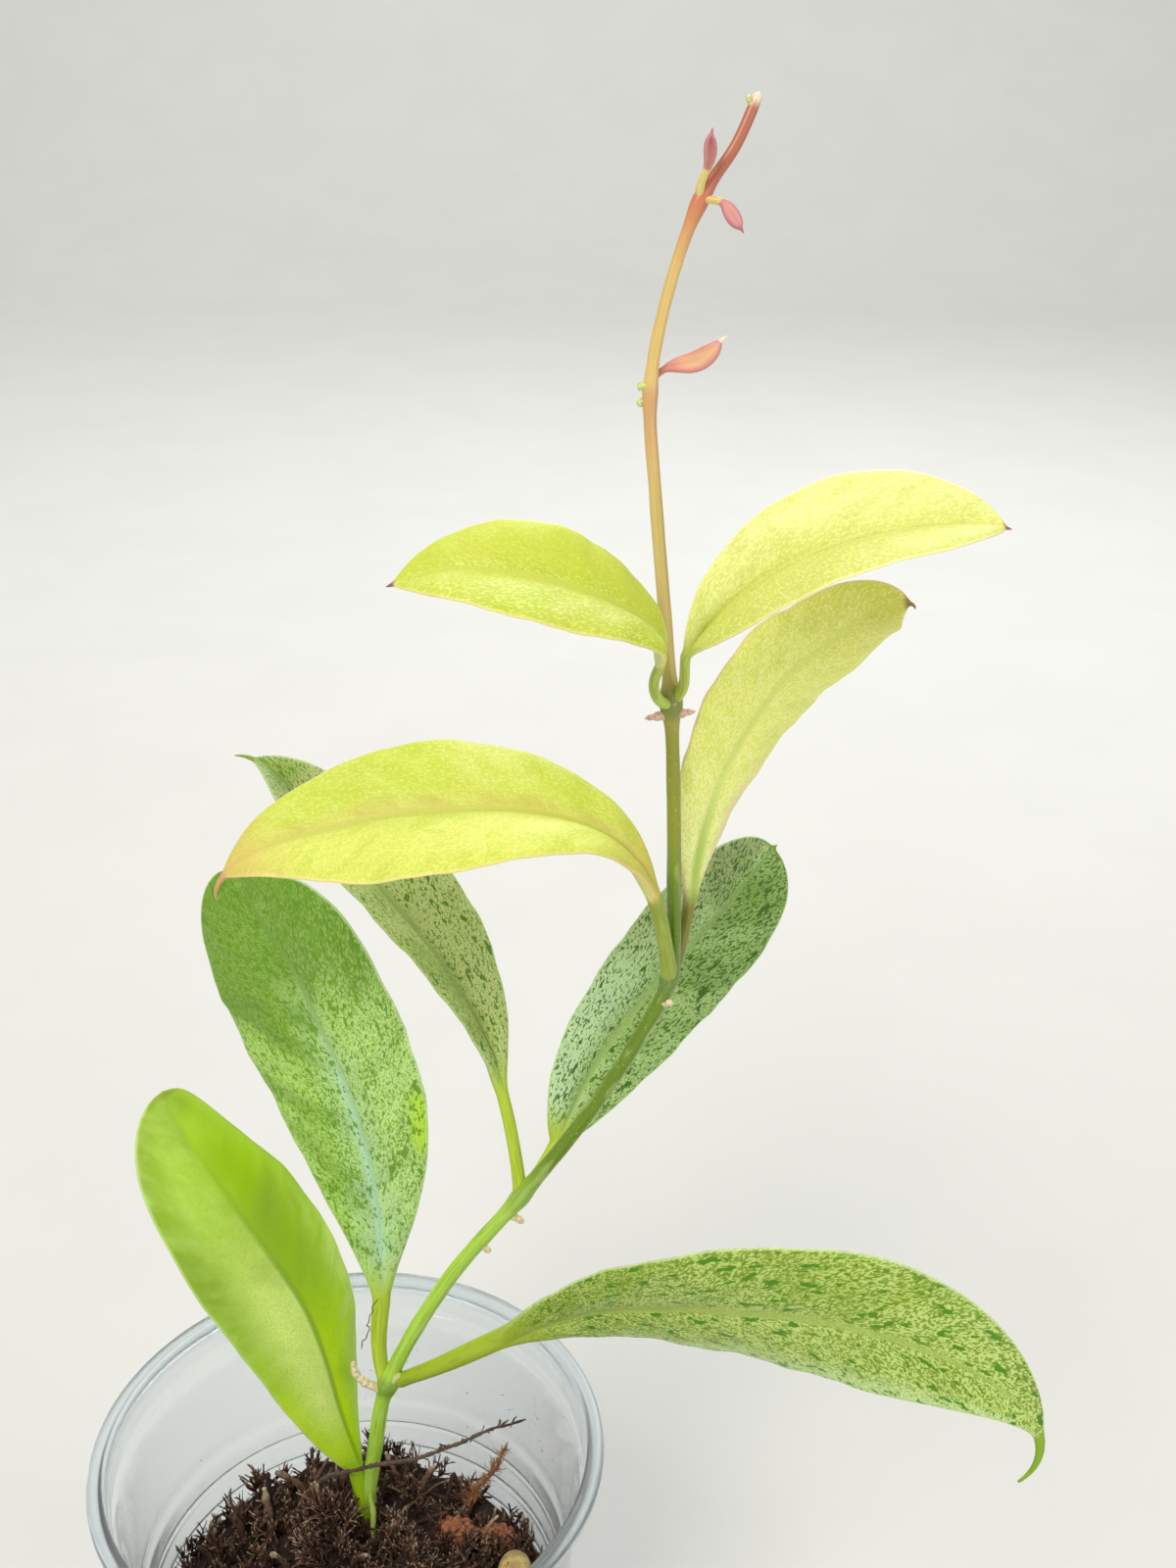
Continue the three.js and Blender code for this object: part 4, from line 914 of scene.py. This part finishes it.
# %% Cup shape
CUP_HEIGHT, WALL = 72, 0.8
RIM_RADIUS, COLLAR_RADIUS, LEDGE_RADIUS, SHOULDER_RADIUS, BASE_RADIUS = 38, 35.8, 34.9, 32.8, 26.5
LEDGE_HEIGHT, SHOULDER_HEIGHT = CUP_HEIGHT - 6.5, 49
RING_HEIGHTS = (30.5, 35, 39.5, 44)


def wall_radius(z):
    """Outer radius by height: straight from base to shoulder, then straight to the ledge."""
    return np.interp(z, [0, SHOULDER_HEIGHT, LEDGE_HEIGHT], [BASE_RADIUS, SHOULDER_RADIUS, LEDGE_RADIUS])


def cut_corners(profile, times):
    """Chaikin's rule: each side keeps the points at 1/4 and 3/4 of it; the two ends stay."""
    for _ in range(times):
        near = 0.75 * profile[:-1] + 0.25 * profile[1:]
        far = 0.25 * profile[:-1] + 0.75 * profile[1:]
        inner = np.stack([near, far], axis=1).reshape(-1, 2)
        profile = np.vstack([profile[:1], inner, profile[-1:]])
    return profile


def cup_profile():
    """Corners of the wall's section, outside from the base up and inside back down."""
    top, lip = CUP_HEIGHT, RIM_RADIUS - 2.6
    rings = [(wall_radius(z + up) + out, z + up) for z in RING_HEIGHTS
             for up, out in ((-0.7, -0.05), (-0.25, 0.18), (0.25, 0.18), (0.7, -0.05))]
    shoulder = [(wall_radius(47) - 0.3, 47), (SHOULDER_RADIUS + 0.2, 48.4), (SHOULDER_RADIUS + 0.25, 49.6),
                (wall_radius(51), 51)]
    outside = [
        (0, 0.35), (BASE_RADIUS - 7, 0.3), (BASE_RADIUS - 5.5, 0), (BASE_RADIUS - 1.5, 0),
        (BASE_RADIUS - 0.2, 0.4), (wall_radius(2.5), 2.5), *rings, *shoulder,
        (LEDGE_RADIUS, LEDGE_HEIGHT - 0.3), (COLLAR_RADIUS, LEDGE_HEIGHT + 0.4),
        (COLLAR_RADIUS + 0.4, top - 2.4), (RIM_RADIUS - 0.5, top - 2.2), (RIM_RADIUS, top - 1.9),
        (RIM_RADIUS, top - 0.3), (RIM_RADIUS - 0.7, top), (lip + 0.9, top - 0.15),
        (lip + 0.5, top), (lip, top - 0.15), (lip - 0.15, top - 1.0),
    ]
    inside = [(COLLAR_RADIUS - WALL, LEDGE_HEIGHT + 1), (LEDGE_RADIUS - WALL, LEDGE_HEIGHT + 0.3)]
    inside += [(r - WALL, z) for r, z in (rings + shoulder)[::-1]]
    inside += [(wall_radius(2.6) - WALL, 2.6), (BASE_RADIUS - WALL - 1, WALL), (0, WALL)]
    return cut_corners(np.array(outside + inside, float), 2)


def turned_skin(profile, around=224):
    """Each profile point goes once round the axis: (r cos t, r sin t, z)."""
    t = np.linspace(0, 2 * np.pi, around, endpoint=False)
    radius = np.maximum(profile[:, :1], 1e-3)
    return np.stack([radius * np.cos(t), radius * np.sin(t), profile[:, 1:] + 0 * t], axis=-1)


profile = cup_profile()
print("the cup's profile has", len(profile), "points")

# %% [markdown]
# Clear polypropylene lets light through like glass, with an index of 1.49 and a little roughness. A
# see-through shader that doesn't bend light would be faster, but the rim shows by just that bending. The
# thick rim and the wall below the shoulder look milky in the photo, so they are duller. Use has left
# scuffs a millimetre wide, which only the gloss shows. So the roughness is a sum: the clean plastic's and
# one smooth step each for scuffs, lower wall and rim.

# %% Cup finish
CLEAN_ROUGHNESS, SCUFF_SIZE, SLOW_DENTS = 0.05, 1.2, 14
FROST_FROM, FROST_TO = 69, 70
SCUFFED, MILKY, FROSTED = 0.12, 0.13, 0.28


def cup_finish():
    """Transmission, a colder tone at the rim, roughness by height and wear, a slow shallow relief."""
    rim_tint = ("#dfe9ee", 1, ("height", FROST_FROM, FROST_TO))
    plastic = layered_finish("clear_polypropylene", "#f3f8fb", [rim_tint], {"slow": (SLOW_DENTS, 2)},
                             ("height",), relief=("slow", 0.2, 1.0), IOR=1.49, Transmission_Weight=0.95)
    tree = plastic.node_tree
    height = add(tree, "Attribute", {}, "Fac", attribute_name="height")
    place = add(tree, "TexCoord", {}, "Object")
    scuffs = add(tree, "TexNoise", {"Vector": place, "Scale": 1 / (SCUFF_SIZE * MM), "Detail": 4.0})
    dull = CLEAN_ROUGHNESS
    for value, low, high, more in ((scuffs, 0.6, 0.75, SCUFFED),
                                   (height, SHOULDER_HEIGHT + 1, SHOULDER_HEIGHT - 2, MILKY),
                                   (height, FROST_FROM, FROST_TO, FROSTED)):
        limits = {"Value": value, "From Min": low, "From Max": high, "To Max": more}
        dull = add(tree, "Math", {0: add(tree, "MapRange", limits, **SMOOTH_STEP), 1: dull})
    tree.links.new(dull, tree.nodes["Principled BSDF"].inputs["Roughness"])
    return plastic


skin = turned_skin(profile)[None]
faces = stand_in(skin_mesh("nursery_cup", skin, height=skin[..., 2]), cup_finish(), "clear_plastic", "cup")
print("cup of", faces, "faces")

# %% [markdown]
# The mix is tree-fern fibre: short, nearly black strands with paler broken ends. One lumpy body would
# look like mud, so the body is only the dark ground, and thousands of fibres of a few dozen faces each
# lie and stand in it. A fibre's `tone` tells how dark it is and `end` how near its tip a point lies.
# All heights are millimetres above the cup's base.

# %% Mix body
MIX_EDGE_HEIGHT, MIX_MOUND_HEIGHT, MOUND_X, MOUND_Y, MOUND_SPREAD = 37.5, 43, -3, 9, 420
HOLLOW_DEPTH, WAVE_HEIGHT = 2.5, 0.7
ROOM = 0.35


def mix_height(x, y):
    """Edge height + a bell-shaped mound left of the stem - a hollow behind it + two slow waves."""
    mound = np.exp(-((x - MOUND_X) ** 2 + (y - MOUND_Y) ** 2) / MOUND_SPREAD)
    sunk = HOLLOW_DEPTH * smooth((x - 2) / 12) * smooth((y - 4) / 16)
    bumps = np.sin(x * 0.52 + 1) * np.cos(y * 0.47) + 0.5 * np.sin(x * 1.1 - y * 0.9)
    return MIX_EDGE_HEIGHT + (MIX_MOUND_HEIGHT - MIX_EDGE_HEIGHT) * mound - sunk + WAVE_HEIGHT * bumps


def mix_body_skin(around=180):
    """Rings up the cup's inner wall, then inwards over the top, which is roughened by fine waves."""
    t = np.linspace(0, 2 * np.pi, around, endpoint=False)
    heights = np.linspace(1.4, 35.5, 40)[:, None]
    lumps = 0.25 * np.sin(9 * t + heights) * np.sin(1.7 * heights + 5 * t)
    radius = wall_radius(heights) - WALL - ROOM - 0.3 + lumps
    side = np.stack([radius * np.cos(t), radius * np.sin(t), heights + 0 * t], axis=-1)
    share = np.linspace(1, 0.001, 50)[:, None]
    x, y = share * radius[-1] * np.cos(t), share * radius[-1] * np.sin(t)
    fine = 0.45 * np.sin(2.3 * x + 1.1 * y) * np.sin(1.9 * y - 0.8 * x)
    fine = fine + 0.3 * np.sin(4.1 * x) * np.sin(3.7 * y)
    top = np.stack([x, y, mix_height(x, y) - 1.3 + fine * smooth((1 - share) * 12)], axis=-1)
    return np.concatenate([side[:1] * [0.001, 0.001, 1], side, top])[None]


def fibre_finish(name, dark, mid, pale, tip):
    """Dry fibre: a tone per fibre from dark to pale, broken ends lighter, rough all over."""
    layers = [(mid, 1, ("tone", 0.1, 0.5)), (pale, 0.8, ("tone", 0.6, 0.95)),
              (tip, 0.75, ("end", 0.7, 1), ("tone", 0.3, 0.8)), (dark, 0.55, ("grain", 0.42, 0.66))]
    return layered_finish(name, dark, layers, {"grain": (0.7, 3)}, ("tone", "end"),
                          relief=("grain", 0.8, 0.2), Roughness=0.85)


# Tree-fern fibre: the wiry roots round a fern's trunk, black-brown, dull, and pale where they broke.
bark = fibre_finish("tree_fern_fibre", "#2c1a10", "#664331", "#987a62", "#c0ae94")
body = mix_body_skin()
nothing = np.zeros((1, 1, 1))
stand_in(skin_mesh("mix_body", body, tone=nothing + 0.15, end=nothing), bark, "fibre_mix", "potting_mix")
print("mix body of", body.shape[1], "rings")

# %% [markdown]
# A fibre grows from its start in short steps whose heading wanders a little at each one, so it is kinked
# rather than bent. Its girth varies from step to step and its end is blunt. Fibres that would cross the
# cup's wall are pushed back inside, by shrinking their distance from the axis. Most fibres are side roots
# of a thicker one, so they stick out along an axis like the bristles of a brush. Hair particles could
# scatter them, but the finished plant leaves Blender as plain meshes, so all the fibres of a kind are
# worked out as one array.

# %% Fibres and brushes
def fibres(rng, start, heading, length, radius, kink=0.3, rows=7, loop=5):
    """Path = start + running sum of unit(heading + kink * wander) * length / (rows - 1), kept inside
    the cup; tube radius varies by a third from ring to ring."""
    count = len(start)
    wander = np.cumsum(rng.normal(size=(count, rows - 1, 3)), axis=1) * kink / np.sqrt(rows)
    stride = unit(heading[:, None] + wander) * (length / (rows - 1))[:, None, None]
    path = start[:, None] + np.concatenate([np.zeros((count, 1, 3)), np.cumsum(stride, axis=1)], axis=1)
    path[..., 2] = np.maximum(path[..., 2], WALL + 0.6)
    reach = np.hypot(path[..., 0], path[..., 1])
    room = wall_radius(path[..., 2]) - WALL - ROOM - radius[:, None] * 1.5
    path[..., :2] *= np.minimum(1, room / np.maximum(reach, 1e-6))[..., None]
    girth = radius[:, None] * (1 + 0.35 * rng.uniform(-1, 1, size=(count, rows)))
    girth[:, -1] *= 0.7
    skin = tube_skin(path, girth, loop)
    tone = rng.uniform(size=(count, 1, 1))
    return skin, dict(tone=tone, end=np.linspace(0, 1, rows)[None, :, None])


def headings(rng, count, low, high):
    """Any compass direction, climbing between low and high degrees."""
    azimuth = rng.uniform(0, 2 * np.pi, count)
    climb = np.radians(rng.uniform(low, high, count))
    level = np.cos(climb)
    return np.stack([level * np.cos(azimuth), level * np.sin(azimuth), np.sin(climb)], axis=-1)


def scattered(rng, count):
    """Even draws over the disc of the mix: the distance is the root of an even draw."""
    angle = rng.uniform(0, 2 * np.pi, count)
    reach = (SHOULDER_RADIUS - 2.4) * np.sqrt(rng.uniform(size=count))
    return np.stack([reach * np.cos(angle), reach * np.sin(angle)], axis=-1)


def brushes(rng, middle, tall, each, steep=55):
    """An axis stands at each middle, steeper than `steep`; fibres start anywhere along it and leave it
    upwards, and all the fibres of one brush have nearly one tone."""
    axis = np.repeat(headings(rng, len(middle), steep, 90), each, axis=0)
    foot = np.repeat(np.column_stack([middle, mix_height(*middle.T)]), each, axis=0)
    high = np.repeat(tall, each)
    along = rng.uniform(-0.5, 0.65, len(foot)) * high
    start = foot + axis * along[:, None] + rng.normal(size=foot.shape) * 0.3
    heading = unit(axis + rng.normal(size=axis.shape) * 0.32)
    length = 1.0 + high * rng.uniform(0.2, 0.5, len(foot))
    skin, marks = fibres(rng, start, heading, length, rng.uniform(0.08, 0.2, len(foot)), 0.35, 5, 3)
    shared = np.repeat(rng.uniform(size=len(middle)), each)[:, None, None]
    return skin, dict(marks, tone=0.5 * marks["tone"] + 0.5 * shared)


FIBRE_SEED = 5
rng = np.random.default_rng(FIBRE_SEED)
print("fibres are drawn with seed", FIBRE_SEED)

# %% [markdown]
# Single fibres spread evenly would look like felt. So low brushes cover the whole top, and tall ones
# stand at places read off the photo, most of them behind the foot of the lowest leaf. Between them lie
# single, thicker fibres.

# %% Mix fibres
BRUSHES, BRUSH_FIBRES, LYING = 370, 18, 220
skin, marks = brushes(rng, scattered(rng, BRUSHES), rng.uniform(1.5, 5, BRUSHES), BRUSH_FIBRES)
stand_in(skin_mesh("tufted_fibres", skin, **marks), bark, "fibre_mix", "potting_mix")

TALL_BRUSHES = np.array([  # x, y, height
    (-7.5, 9.5, 10), (-6.3, 9, 10.5), (-5.2, 8.6, 10), (-4.4, 9.2, 9.5), (-3.6, 8.8, 8), (-2.9, 8.4, 6.5),
    (-2.2, 8.8, 4.5), (-9, 9.5, 8.5), (-10.5, 9, 7), (-5, 6.5, 6), (-3, 5.5, 5), (-8, 5, 6), (12.5, 9.3, 3),
    (16.4, 9, 3.2), (19.5, 8.6, 3), (17.4, 11, 3.4), (4.5, 8, 4), (6.5, 10, 4.5), (-20, 12, 7), (-23, 6, 7)])
TALL_FIBRES = 64
skin, marks = brushes(rng, TALL_BRUSHES[:, :2], TALL_BRUSHES[:, 2], TALL_FIBRES, 76)
stand_in(skin_mesh("tall_brushes", skin, **marks), bark, "fibre_mix", "potting_mix")

spot = scattered(rng, LYING)
start = np.column_stack([spot, mix_height(*spot.T) - rng.uniform(0.6, 2.4, LYING)])
heading = headings(rng, LYING, -4, 24)
length, radius = rng.uniform(4, 10, LYING), rng.uniform(0.15, 0.36, LYING)
skin, marks = fibres(rng, start, heading, length, radius, 0.45, 10)
stand_in(skin_mesh("lying_fibres", skin, **marks), bark, "fibre_mix", "potting_mix")
print(BRUSHES * BRUSH_FIBRES + len(TALL_BRUSHES) * TALL_FIBRES + LYING, "fibres on top")

# %% [markdown]
# Knobbly twigs stand in the mix, most of them at the left and behind the stem. They are thicker than the
# fibres, and most of them end in a pale stub. Drawn by chance they would stand in the wrong places, so
# they are placed one by one, by where they root and lean, in millimetres. They root two millimetres deep,
# so their length grows by as much.

# %% Standing twigs
TWIGS = [  # x, y, lean to the right, lean to the back, length, radius
    (-22, 4, -0.75, -0.1, 10, 0.5), (-19, 9, -0.35, 0.2, 8, 0.6), (-16, 10, 0.1, 0.1, 10, 0.65),
    (-13, 13, 0.5, 0.3, 13, 0.4), (-14.5, 12, -0.5, 0.3, 11, 0.6), (-10, 16, -0.2, 0.4, 9, 0.55),
    (-6, 17, 0.1, 0.2, 9, 0.6), (-4, 19, 0.4, 0.2, 8, 0.5), (-8, 12, 0.2, -0.4, 7, 0.55),
    (-17, 2, -0.5, -0.5, 7, 0.5), (-24, -3, -0.8, -0.2, 6, 0.5), (-12, 5, -0.1, -0.3, 6, 0.5),
    (7, 20, 0.3, 0.1, 7, 0.5), (11, 18, 0.6, 0.1, 7, 0.45), (4, 22, -0.3, 0.1, 6, 0.5),
    (17, 12, 0.7, 0.2, 5, 0.4), (-2, 5, 0.2, -0.5, 5, 0.5), (9, 5, 0.5, -0.4, 5, 0.45),
    (20, -4, 0.3, 0.2, 5, 0.45), (3, -6, -0.3, 0.3, 5, 0.5), (-10, -8, -0.4, 0.1, 6, 0.5),
    (-18, -12, -0.3, 0.3, 6, 0.5), (12, -14, 0.3, 0.4, 6, 0.5), (26, 6, 0.2, 0.3, 4, 0.4),
]
TWIG_DEPTH, TWIG_THINNER = 2, 0.8
x, y, lean_right, lean_back, length, radius = np.array(TWIGS).T
start = np.stack([x, y, mix_height(x, y) - TWIG_DEPTH], axis=-1)
heading = unit(np.stack([lean_right, lean_back, np.ones(len(x))], axis=-1))
skin, marks = fibres(rng, start, heading, length + TWIG_DEPTH, radius * TWIG_THINNER, 0.35, 22, 8)
stand_in(skin_mesh("standing_twigs", skin, **marks), bark, "fibre_mix", "potting_mix")
print(len(TWIGS), "twigs")

# %% [markdown]
# Through the clear wall the mix shows from the side too, pressed flat. A pattern on the body could stand
# for it, but it would lack the gaps and shadows between real fibres. These fibres start on the wall and
# run along it, up or down and round. Those that climb end three millimetres above the mix's edge at most.

# %% Fibres against the wall
WALL_FIBRES, WALL_FIBRES_STOP = 1100, MIX_EDGE_HEIGHT + 3
angle = rng.uniform(0, 2 * np.pi, WALL_FIBRES)
height = rng.uniform(1.5, MIX_EDGE_HEIGHT - 1, WALL_FIBRES)
reach = wall_radius(height) - WALL - ROOM - 0.5
start = np.stack([reach * np.cos(angle), reach * np.sin(angle), height], axis=-1)
climb = rng.uniform(-1.2, 1.2, WALL_FIBRES)
turning = rng.choice([-1, 1], WALL_FIBRES) * np.cos(climb)
heading = np.stack([-np.sin(angle) * turning, np.cos(angle) * turning, np.sin(climb)], axis=-1)
longest = np.where(heading[:, 2] > 0, WALL_FIBRES_STOP - height, CUP_HEIGHT)
length = np.minimum(rng.uniform(3, 9, WALL_FIBRES), longest)
skin, marks = fibres(rng, start, heading, length, rng.uniform(0.18, 0.42, WALL_FIBRES), 0.25)
stand_in(skin_mesh("wall_fibres", skin, **marks), bark, "fibre_mix", "potting_mix")
print(WALL_FIBRES, "fibres along the wall")

# %% [markdown]
# A few things lie loose in the mix. One is a long dark rootlet that leans on the wall and forks at its
# end. It catches the eye, so it isn't left to chance as the fibres are: it is a knobbly tube close to the
# CAD rootlet's path, with short side hairs. Three of them have a place and length of their own, because
# they are the fork.

# %% Long rootlet
LONG_FIBRE = [(-9, 17, 38), (-7.2, 11.5, 51.6), (-3, 7.4, 58), (2, 6.8, 60), (10.4, 9.4, 59.6),
              (19.5, 14, 60), (25.6, 18.6, 58)]
LONG_FIBRE_RADII = (0.4, 0.45, 0.45, 0.4, 0.38, 0.32, 0.22)
ROOTLET_ROWS, SIDE_HAIRS, KINK_SIZE = 180, 28, 0.14
FORK_ROWS, FORK_LENGTHS = (146, 160, 169), (1, 2.6, 1.3)
share = np.linspace(0, 1, ROOTLET_ROWS)
kinks = np.stack([np.sin(share * 61 + n) * np.sin(share * 23 + 2 * n) for n in range(3)], axis=-1)
spine = curve_through(LONG_FIBRE, ROOTLET_ROWS) + KINK_SIZE * kinks
girth = np.interp(share, np.linspace(0, 1, len(LONG_FIBRE)), LONG_FIBRE_RADII)
girth = girth * (0.85 + 0.22 * rng.uniform(-1, 1, ROOTLET_ROWS))
skin = tube_skin(spine, girth * rounded_ends(ROOTLET_ROWS, False, True), 10)[None]
# Dry rootlet: its bark is grey-brown and corky, so it is paler and greyer than the fern fibre.
rootlet_bark = fibre_finish("dark_rootlet_bark", "#2c2019", "#57463a", "#6f5c4c", "#84705a")
rootlet = skin_mesh("long_rootlet", skin, tone=nothing + 0.5, end=nothing)
stand_in(rootlet, rootlet_bark, "dark_fibre", "long_fibre")

row = rng.integers(20, ROOTLET_ROWS - 8, SIDE_HAIRS)
row[:3] = FORK_ROWS
length = rng.uniform(0.7, 1.8, SIDE_HAIRS)
length[:3] = FORK_LENGTHS
heading = unit(rng.normal(size=(SIDE_HAIRS, 3)) + [0.5, 0, 0.6])
skin, marks = fibres(rng, spine[row], heading, length, rng.uniform(0.1, 0.2, SIDE_HAIRS), 0.4, 6)
stand_in(skin_mesh("rootlet_hairs", skin, **marks), rootlet_bark, "dark_fibre", "long_fibre")
print("rootlet with", SIDE_HAIRS, "hairs")

# %% [markdown]
# The rusty tuft is a worn piece of coir. A cone with a fibrous pattern would look solid, so it is built
# of strands: a stalk of a few of them that bulges in the middle and frays out in locks of fine hairs.
# Each lock starts at one place of the stalk with one heading, from which its hairs stray a little.

# %% Rusty tuft
TUFT = [(15, 20.5, 31), (16, 20, 38.8), (19.5, 19.6, 45), (22.6, 19.4, 52.4)]
TUFT_STALKS, TUFT_LOCKS, LOCK_HAIRS, TUFT_ROWS = 4, 24, 13, 30
# Coir: the fibre of coconut husk, stiff and rust brown, bleached to straw where it is frayed.
rust = fibre_finish("rusty_coir", "#8a5c3a", "#b07c50", "#c89c6c", "#cdb48e")
stalk = curve_through(TUFT, TUFT_ROWS)
share = np.linspace(0, 1, TUFT_ROWS)
offset = rng.normal(size=(TUFT_STALKS, 1, 3)) * 0.4 * np.sin(np.pi * share)[:, None]
girth = rng.uniform(0.13, 0.24, (TUFT_STALKS, 1)) * (1.1 - 0.7 * share)
skin = tube_skin(stalk[None] + offset, girth, 6)
stand_in(skin_mesh("coir_stalks", skin, tone=nothing + 0.4, end=nothing), rust, "rust_fibre", "fibre_tuft")
row = np.clip(rng.normal(18, 4.5, TUFT_LOCKS), 11, TUFT_ROWS - 3).astype(int)
heading = rng.normal(size=(TUFT_LOCKS, 3)) * [1, 0.8, 0.5] + [0.1, 0, 0.9]
stray = rng.normal(size=(TUFT_LOCKS * LOCK_HAIRS, 3)) * 0.33
heading = unit(np.repeat(unit(heading), LOCK_HAIRS, axis=0) + stray)
start = np.repeat(stalk[row], LOCK_HAIRS, axis=0) + rng.normal(size=heading.shape) * 0.3
length = np.repeat(rng.uniform(1, 2.8, TUFT_LOCKS), LOCK_HAIRS) * rng.uniform(0.5, 1, len(start))
skin, marks = fibres(rng, start, heading, length, rng.uniform(0.03, 0.08, len(start)), 0.7, 6, 3)
stand_in(skin_mesh("coir_hairs", skin, **marks), rust, "rust_fibre", "fibre_tuft")
print(TUFT_LOCKS * LOCK_HAIRS, "coir hairs")

# %% [markdown]
# A thin wisp of dry fibre hangs above the stem's first joint, wavy from having dried. It could be one
# more fibre with a wandering heading, but it hangs in plain view. So its path runs through four points,
# and sine waves are added to it.

# %% Hanging wisp
WISP = [(4.2, 10.6, 90), (2.5, 10.4, 86), (2.2, 10.2, 83), (0.9, 10, 81)]
WISP_ROWS, WISP_RADIUS, WISP_WAVES = 40, 0.08, 0.25
share = np.linspace(0, 1, WISP_ROWS)
waves = np.stack([np.sin(share * 27) * np.sin(share * 8), np.sin(share * 23), np.sin(share * 11)], axis=-1)
path = curve_through(WISP, WISP_ROWS) + WISP_WAVES * waves
skin = tube_skin(path, WISP_RADIUS * rounded_ends(WISP_ROWS, True, True), 6)[None]
wisp = skin_mesh("hanging_wisp", skin, tone=nothing + 0.7, end=nothing)
stand_in(wisp, rootlet_bark, "dark_fibre", "long_fibre")
print("the wisp hangs down to", skin[..., 2].min().round(1), "mm")

# %% [markdown]
# A crumb of fired clay could be a ball with a Displace modifier, but a soft noise doesn't give it sharp
# edges. So it is a ball pushed in and out by a few waves, like the CAD one, with creases on top: the
# absolute value of a sine has a crease wherever the sine crosses zero. The pebble is worn smooth and
# keeps only the slow waves.

# %% Clay crumbs and pebble
LUMPS = {
    "clay_chip_left": ((13.8, 13, 38.9), (3.3, 2.5, 2.2), 3, 0.7),
    "clay_chip_right": ((20.6, 12, 38.4), (3, 2.3, 2), 8, 0.7),
    "pebble": ((24, 4.6, 40), (2.5, 3, 2.2), 21, 0.02),
}
LUMPINESS = 0.24


def lump_skin(centre, size, seed, creases, rows=56, loop=80):
    """Sphere angles a and b; radius = 1 + slow seeded waves of the direction + creases * the mean of
    six absolute sines of it."""
    draw = np.random.default_rng(seed)
    a = np.linspace(1e-3, np.pi - 1e-3, rows)[:, None]
    b = np.linspace(0, 2 * np.pi, loop, endpoint=False)[None]
    aim = np.stack([np.sin(a) * np.cos(b), np.sin(a) * np.sin(b), -np.cos(a) + 0 * b], axis=-1)
    slow = sum(np.sin(aim @ draw.uniform(-2.5, 2.5, 3) + n) for n in range(5)) / 5
    creased = sum(np.abs(np.sin(aim @ draw.uniform(-9, 9, 3) + n)) for n in range(6)) / 6 - 0.6
    radius = 1 + LUMPINESS * slow + creases * creased
    return (np.array(centre) + aim * np.array(size) * radius[..., None])[None]


# Fired clay: a matt orange-brown crust, burnt darker in its hollows and nearly black in its pores.
clay = dry_finish("fired_clay", "#9c6242", "#643a28", "#38221a", 0.8, 0.9)
# Pebble: sandstone worn by water, evenly tan with broad brown clouds, and smoother than the clay.
stone = dry_finish("tan_pebble", "#bda468", "#957c4c", "#7c643c", 1.8, 0.55)
for name, (centre, size, seed, creases) in LUMPS.items():
    finish, slot = (stone, "pebble_stone") if name == "pebble" else (clay, "fired_clay")
    stand_in(skin_mesh(name + "_lump", lump_skin(centre, size, seed, creases)), finish, slot, name)
print(len(LUMPS), "lumps")

# %% [markdown]
# A small green sprout comes up beside the stem: a pointed scale leaf, still closed, with the same living
# skin as the shoot. The leaves' grid would open it into a blade, so it is made as the stem is: a tube
# whose radius grows a little and then runs out to a point.

# %% Sprout
SPROUT = [(1.1, 10, 38), (1.1, 9.8, 43), (1.3, 9.7, 47), (0.9, 9.8, 51)]
SPROUT_ROWS, SPROUT_LOOP, SPROUT_LENGTH = 60, 18, 14
share = np.linspace(0, 1, SPROUT_ROWS)
radius = np.interp(share, [0, 0.4, 0.75, 1], [0.35, 0.45, 0.5, 0.1])
radius = radius * rounded_ends(SPROUT_ROWS, False, True, 4)
skin = tube_skin(curve_through(SPROUT, SPROUT_ROWS), radius, SPROUT_LOOP)[None]
t = np.linspace(0, 2 * np.pi, SPROUT_LOOP, endpoint=False)[None]
lay = np.stack(np.broadcast_arrays(share[:, None] * SPROUT_LENGTH, np.cos(t), np.sin(t)), axis=-1)[None]
# Sprout: the same living skin as the young shoot, but a fresh, even yellow green all over.
sprout_skin = shoot_finish("sprout_skin", [(-1, 0, "#b4cf62")])
stand_in(skin_mesh("green_sprout", skin, height=nothing, joint=nothing + 9, lay=lay), sprout_skin,
         "sprout_green", "sprout")
print("sprout up to", skin[..., 2].max().round(1), "mm")

# %% [markdown]
# Watering has splashed specks of soil on the cup's inner wall, most of them on the right. The plastic's
# finish could show them as spots, but a real speck stands out from the wall. So each is a tiny lump, a
# hair's breadth inside the wall.

# %% Soil specks on the wall
SPECKS = 90
angle = rng.normal(0.75, 0.7, SPECKS)
height = rng.uniform(44, 64, SPECKS)
reach = wall_radius(height) - WALL - 0.25
middle = np.stack([reach * np.cos(angle), reach * np.sin(angle), height], axis=-1)
size = rng.uniform(0.05, 0.16, SPECKS)
lean = headings(rng, SPECKS, -60, 60)[:, None]
path = middle[:, None] + np.linspace(-1, 1, 5)[None, :, None] * size[:, None, None] * lean
skin = tube_skin(path, size[:, None] * np.array([0.3, 0.8, 1, 0.7, 0.3]), 6)
# Dried soil: the mix's fines, left by a splash and dried to a dull, pale grey-brown crust.
dust = dry_finish("dried_soil", "#c4bba8", "#94866e", "#77664e", 0.4, 0.9)
stand_in(skin_mesh("soil_specks", skin), dust, "fibre_mix", "potting_mix")
print(SPECKS, "specks")
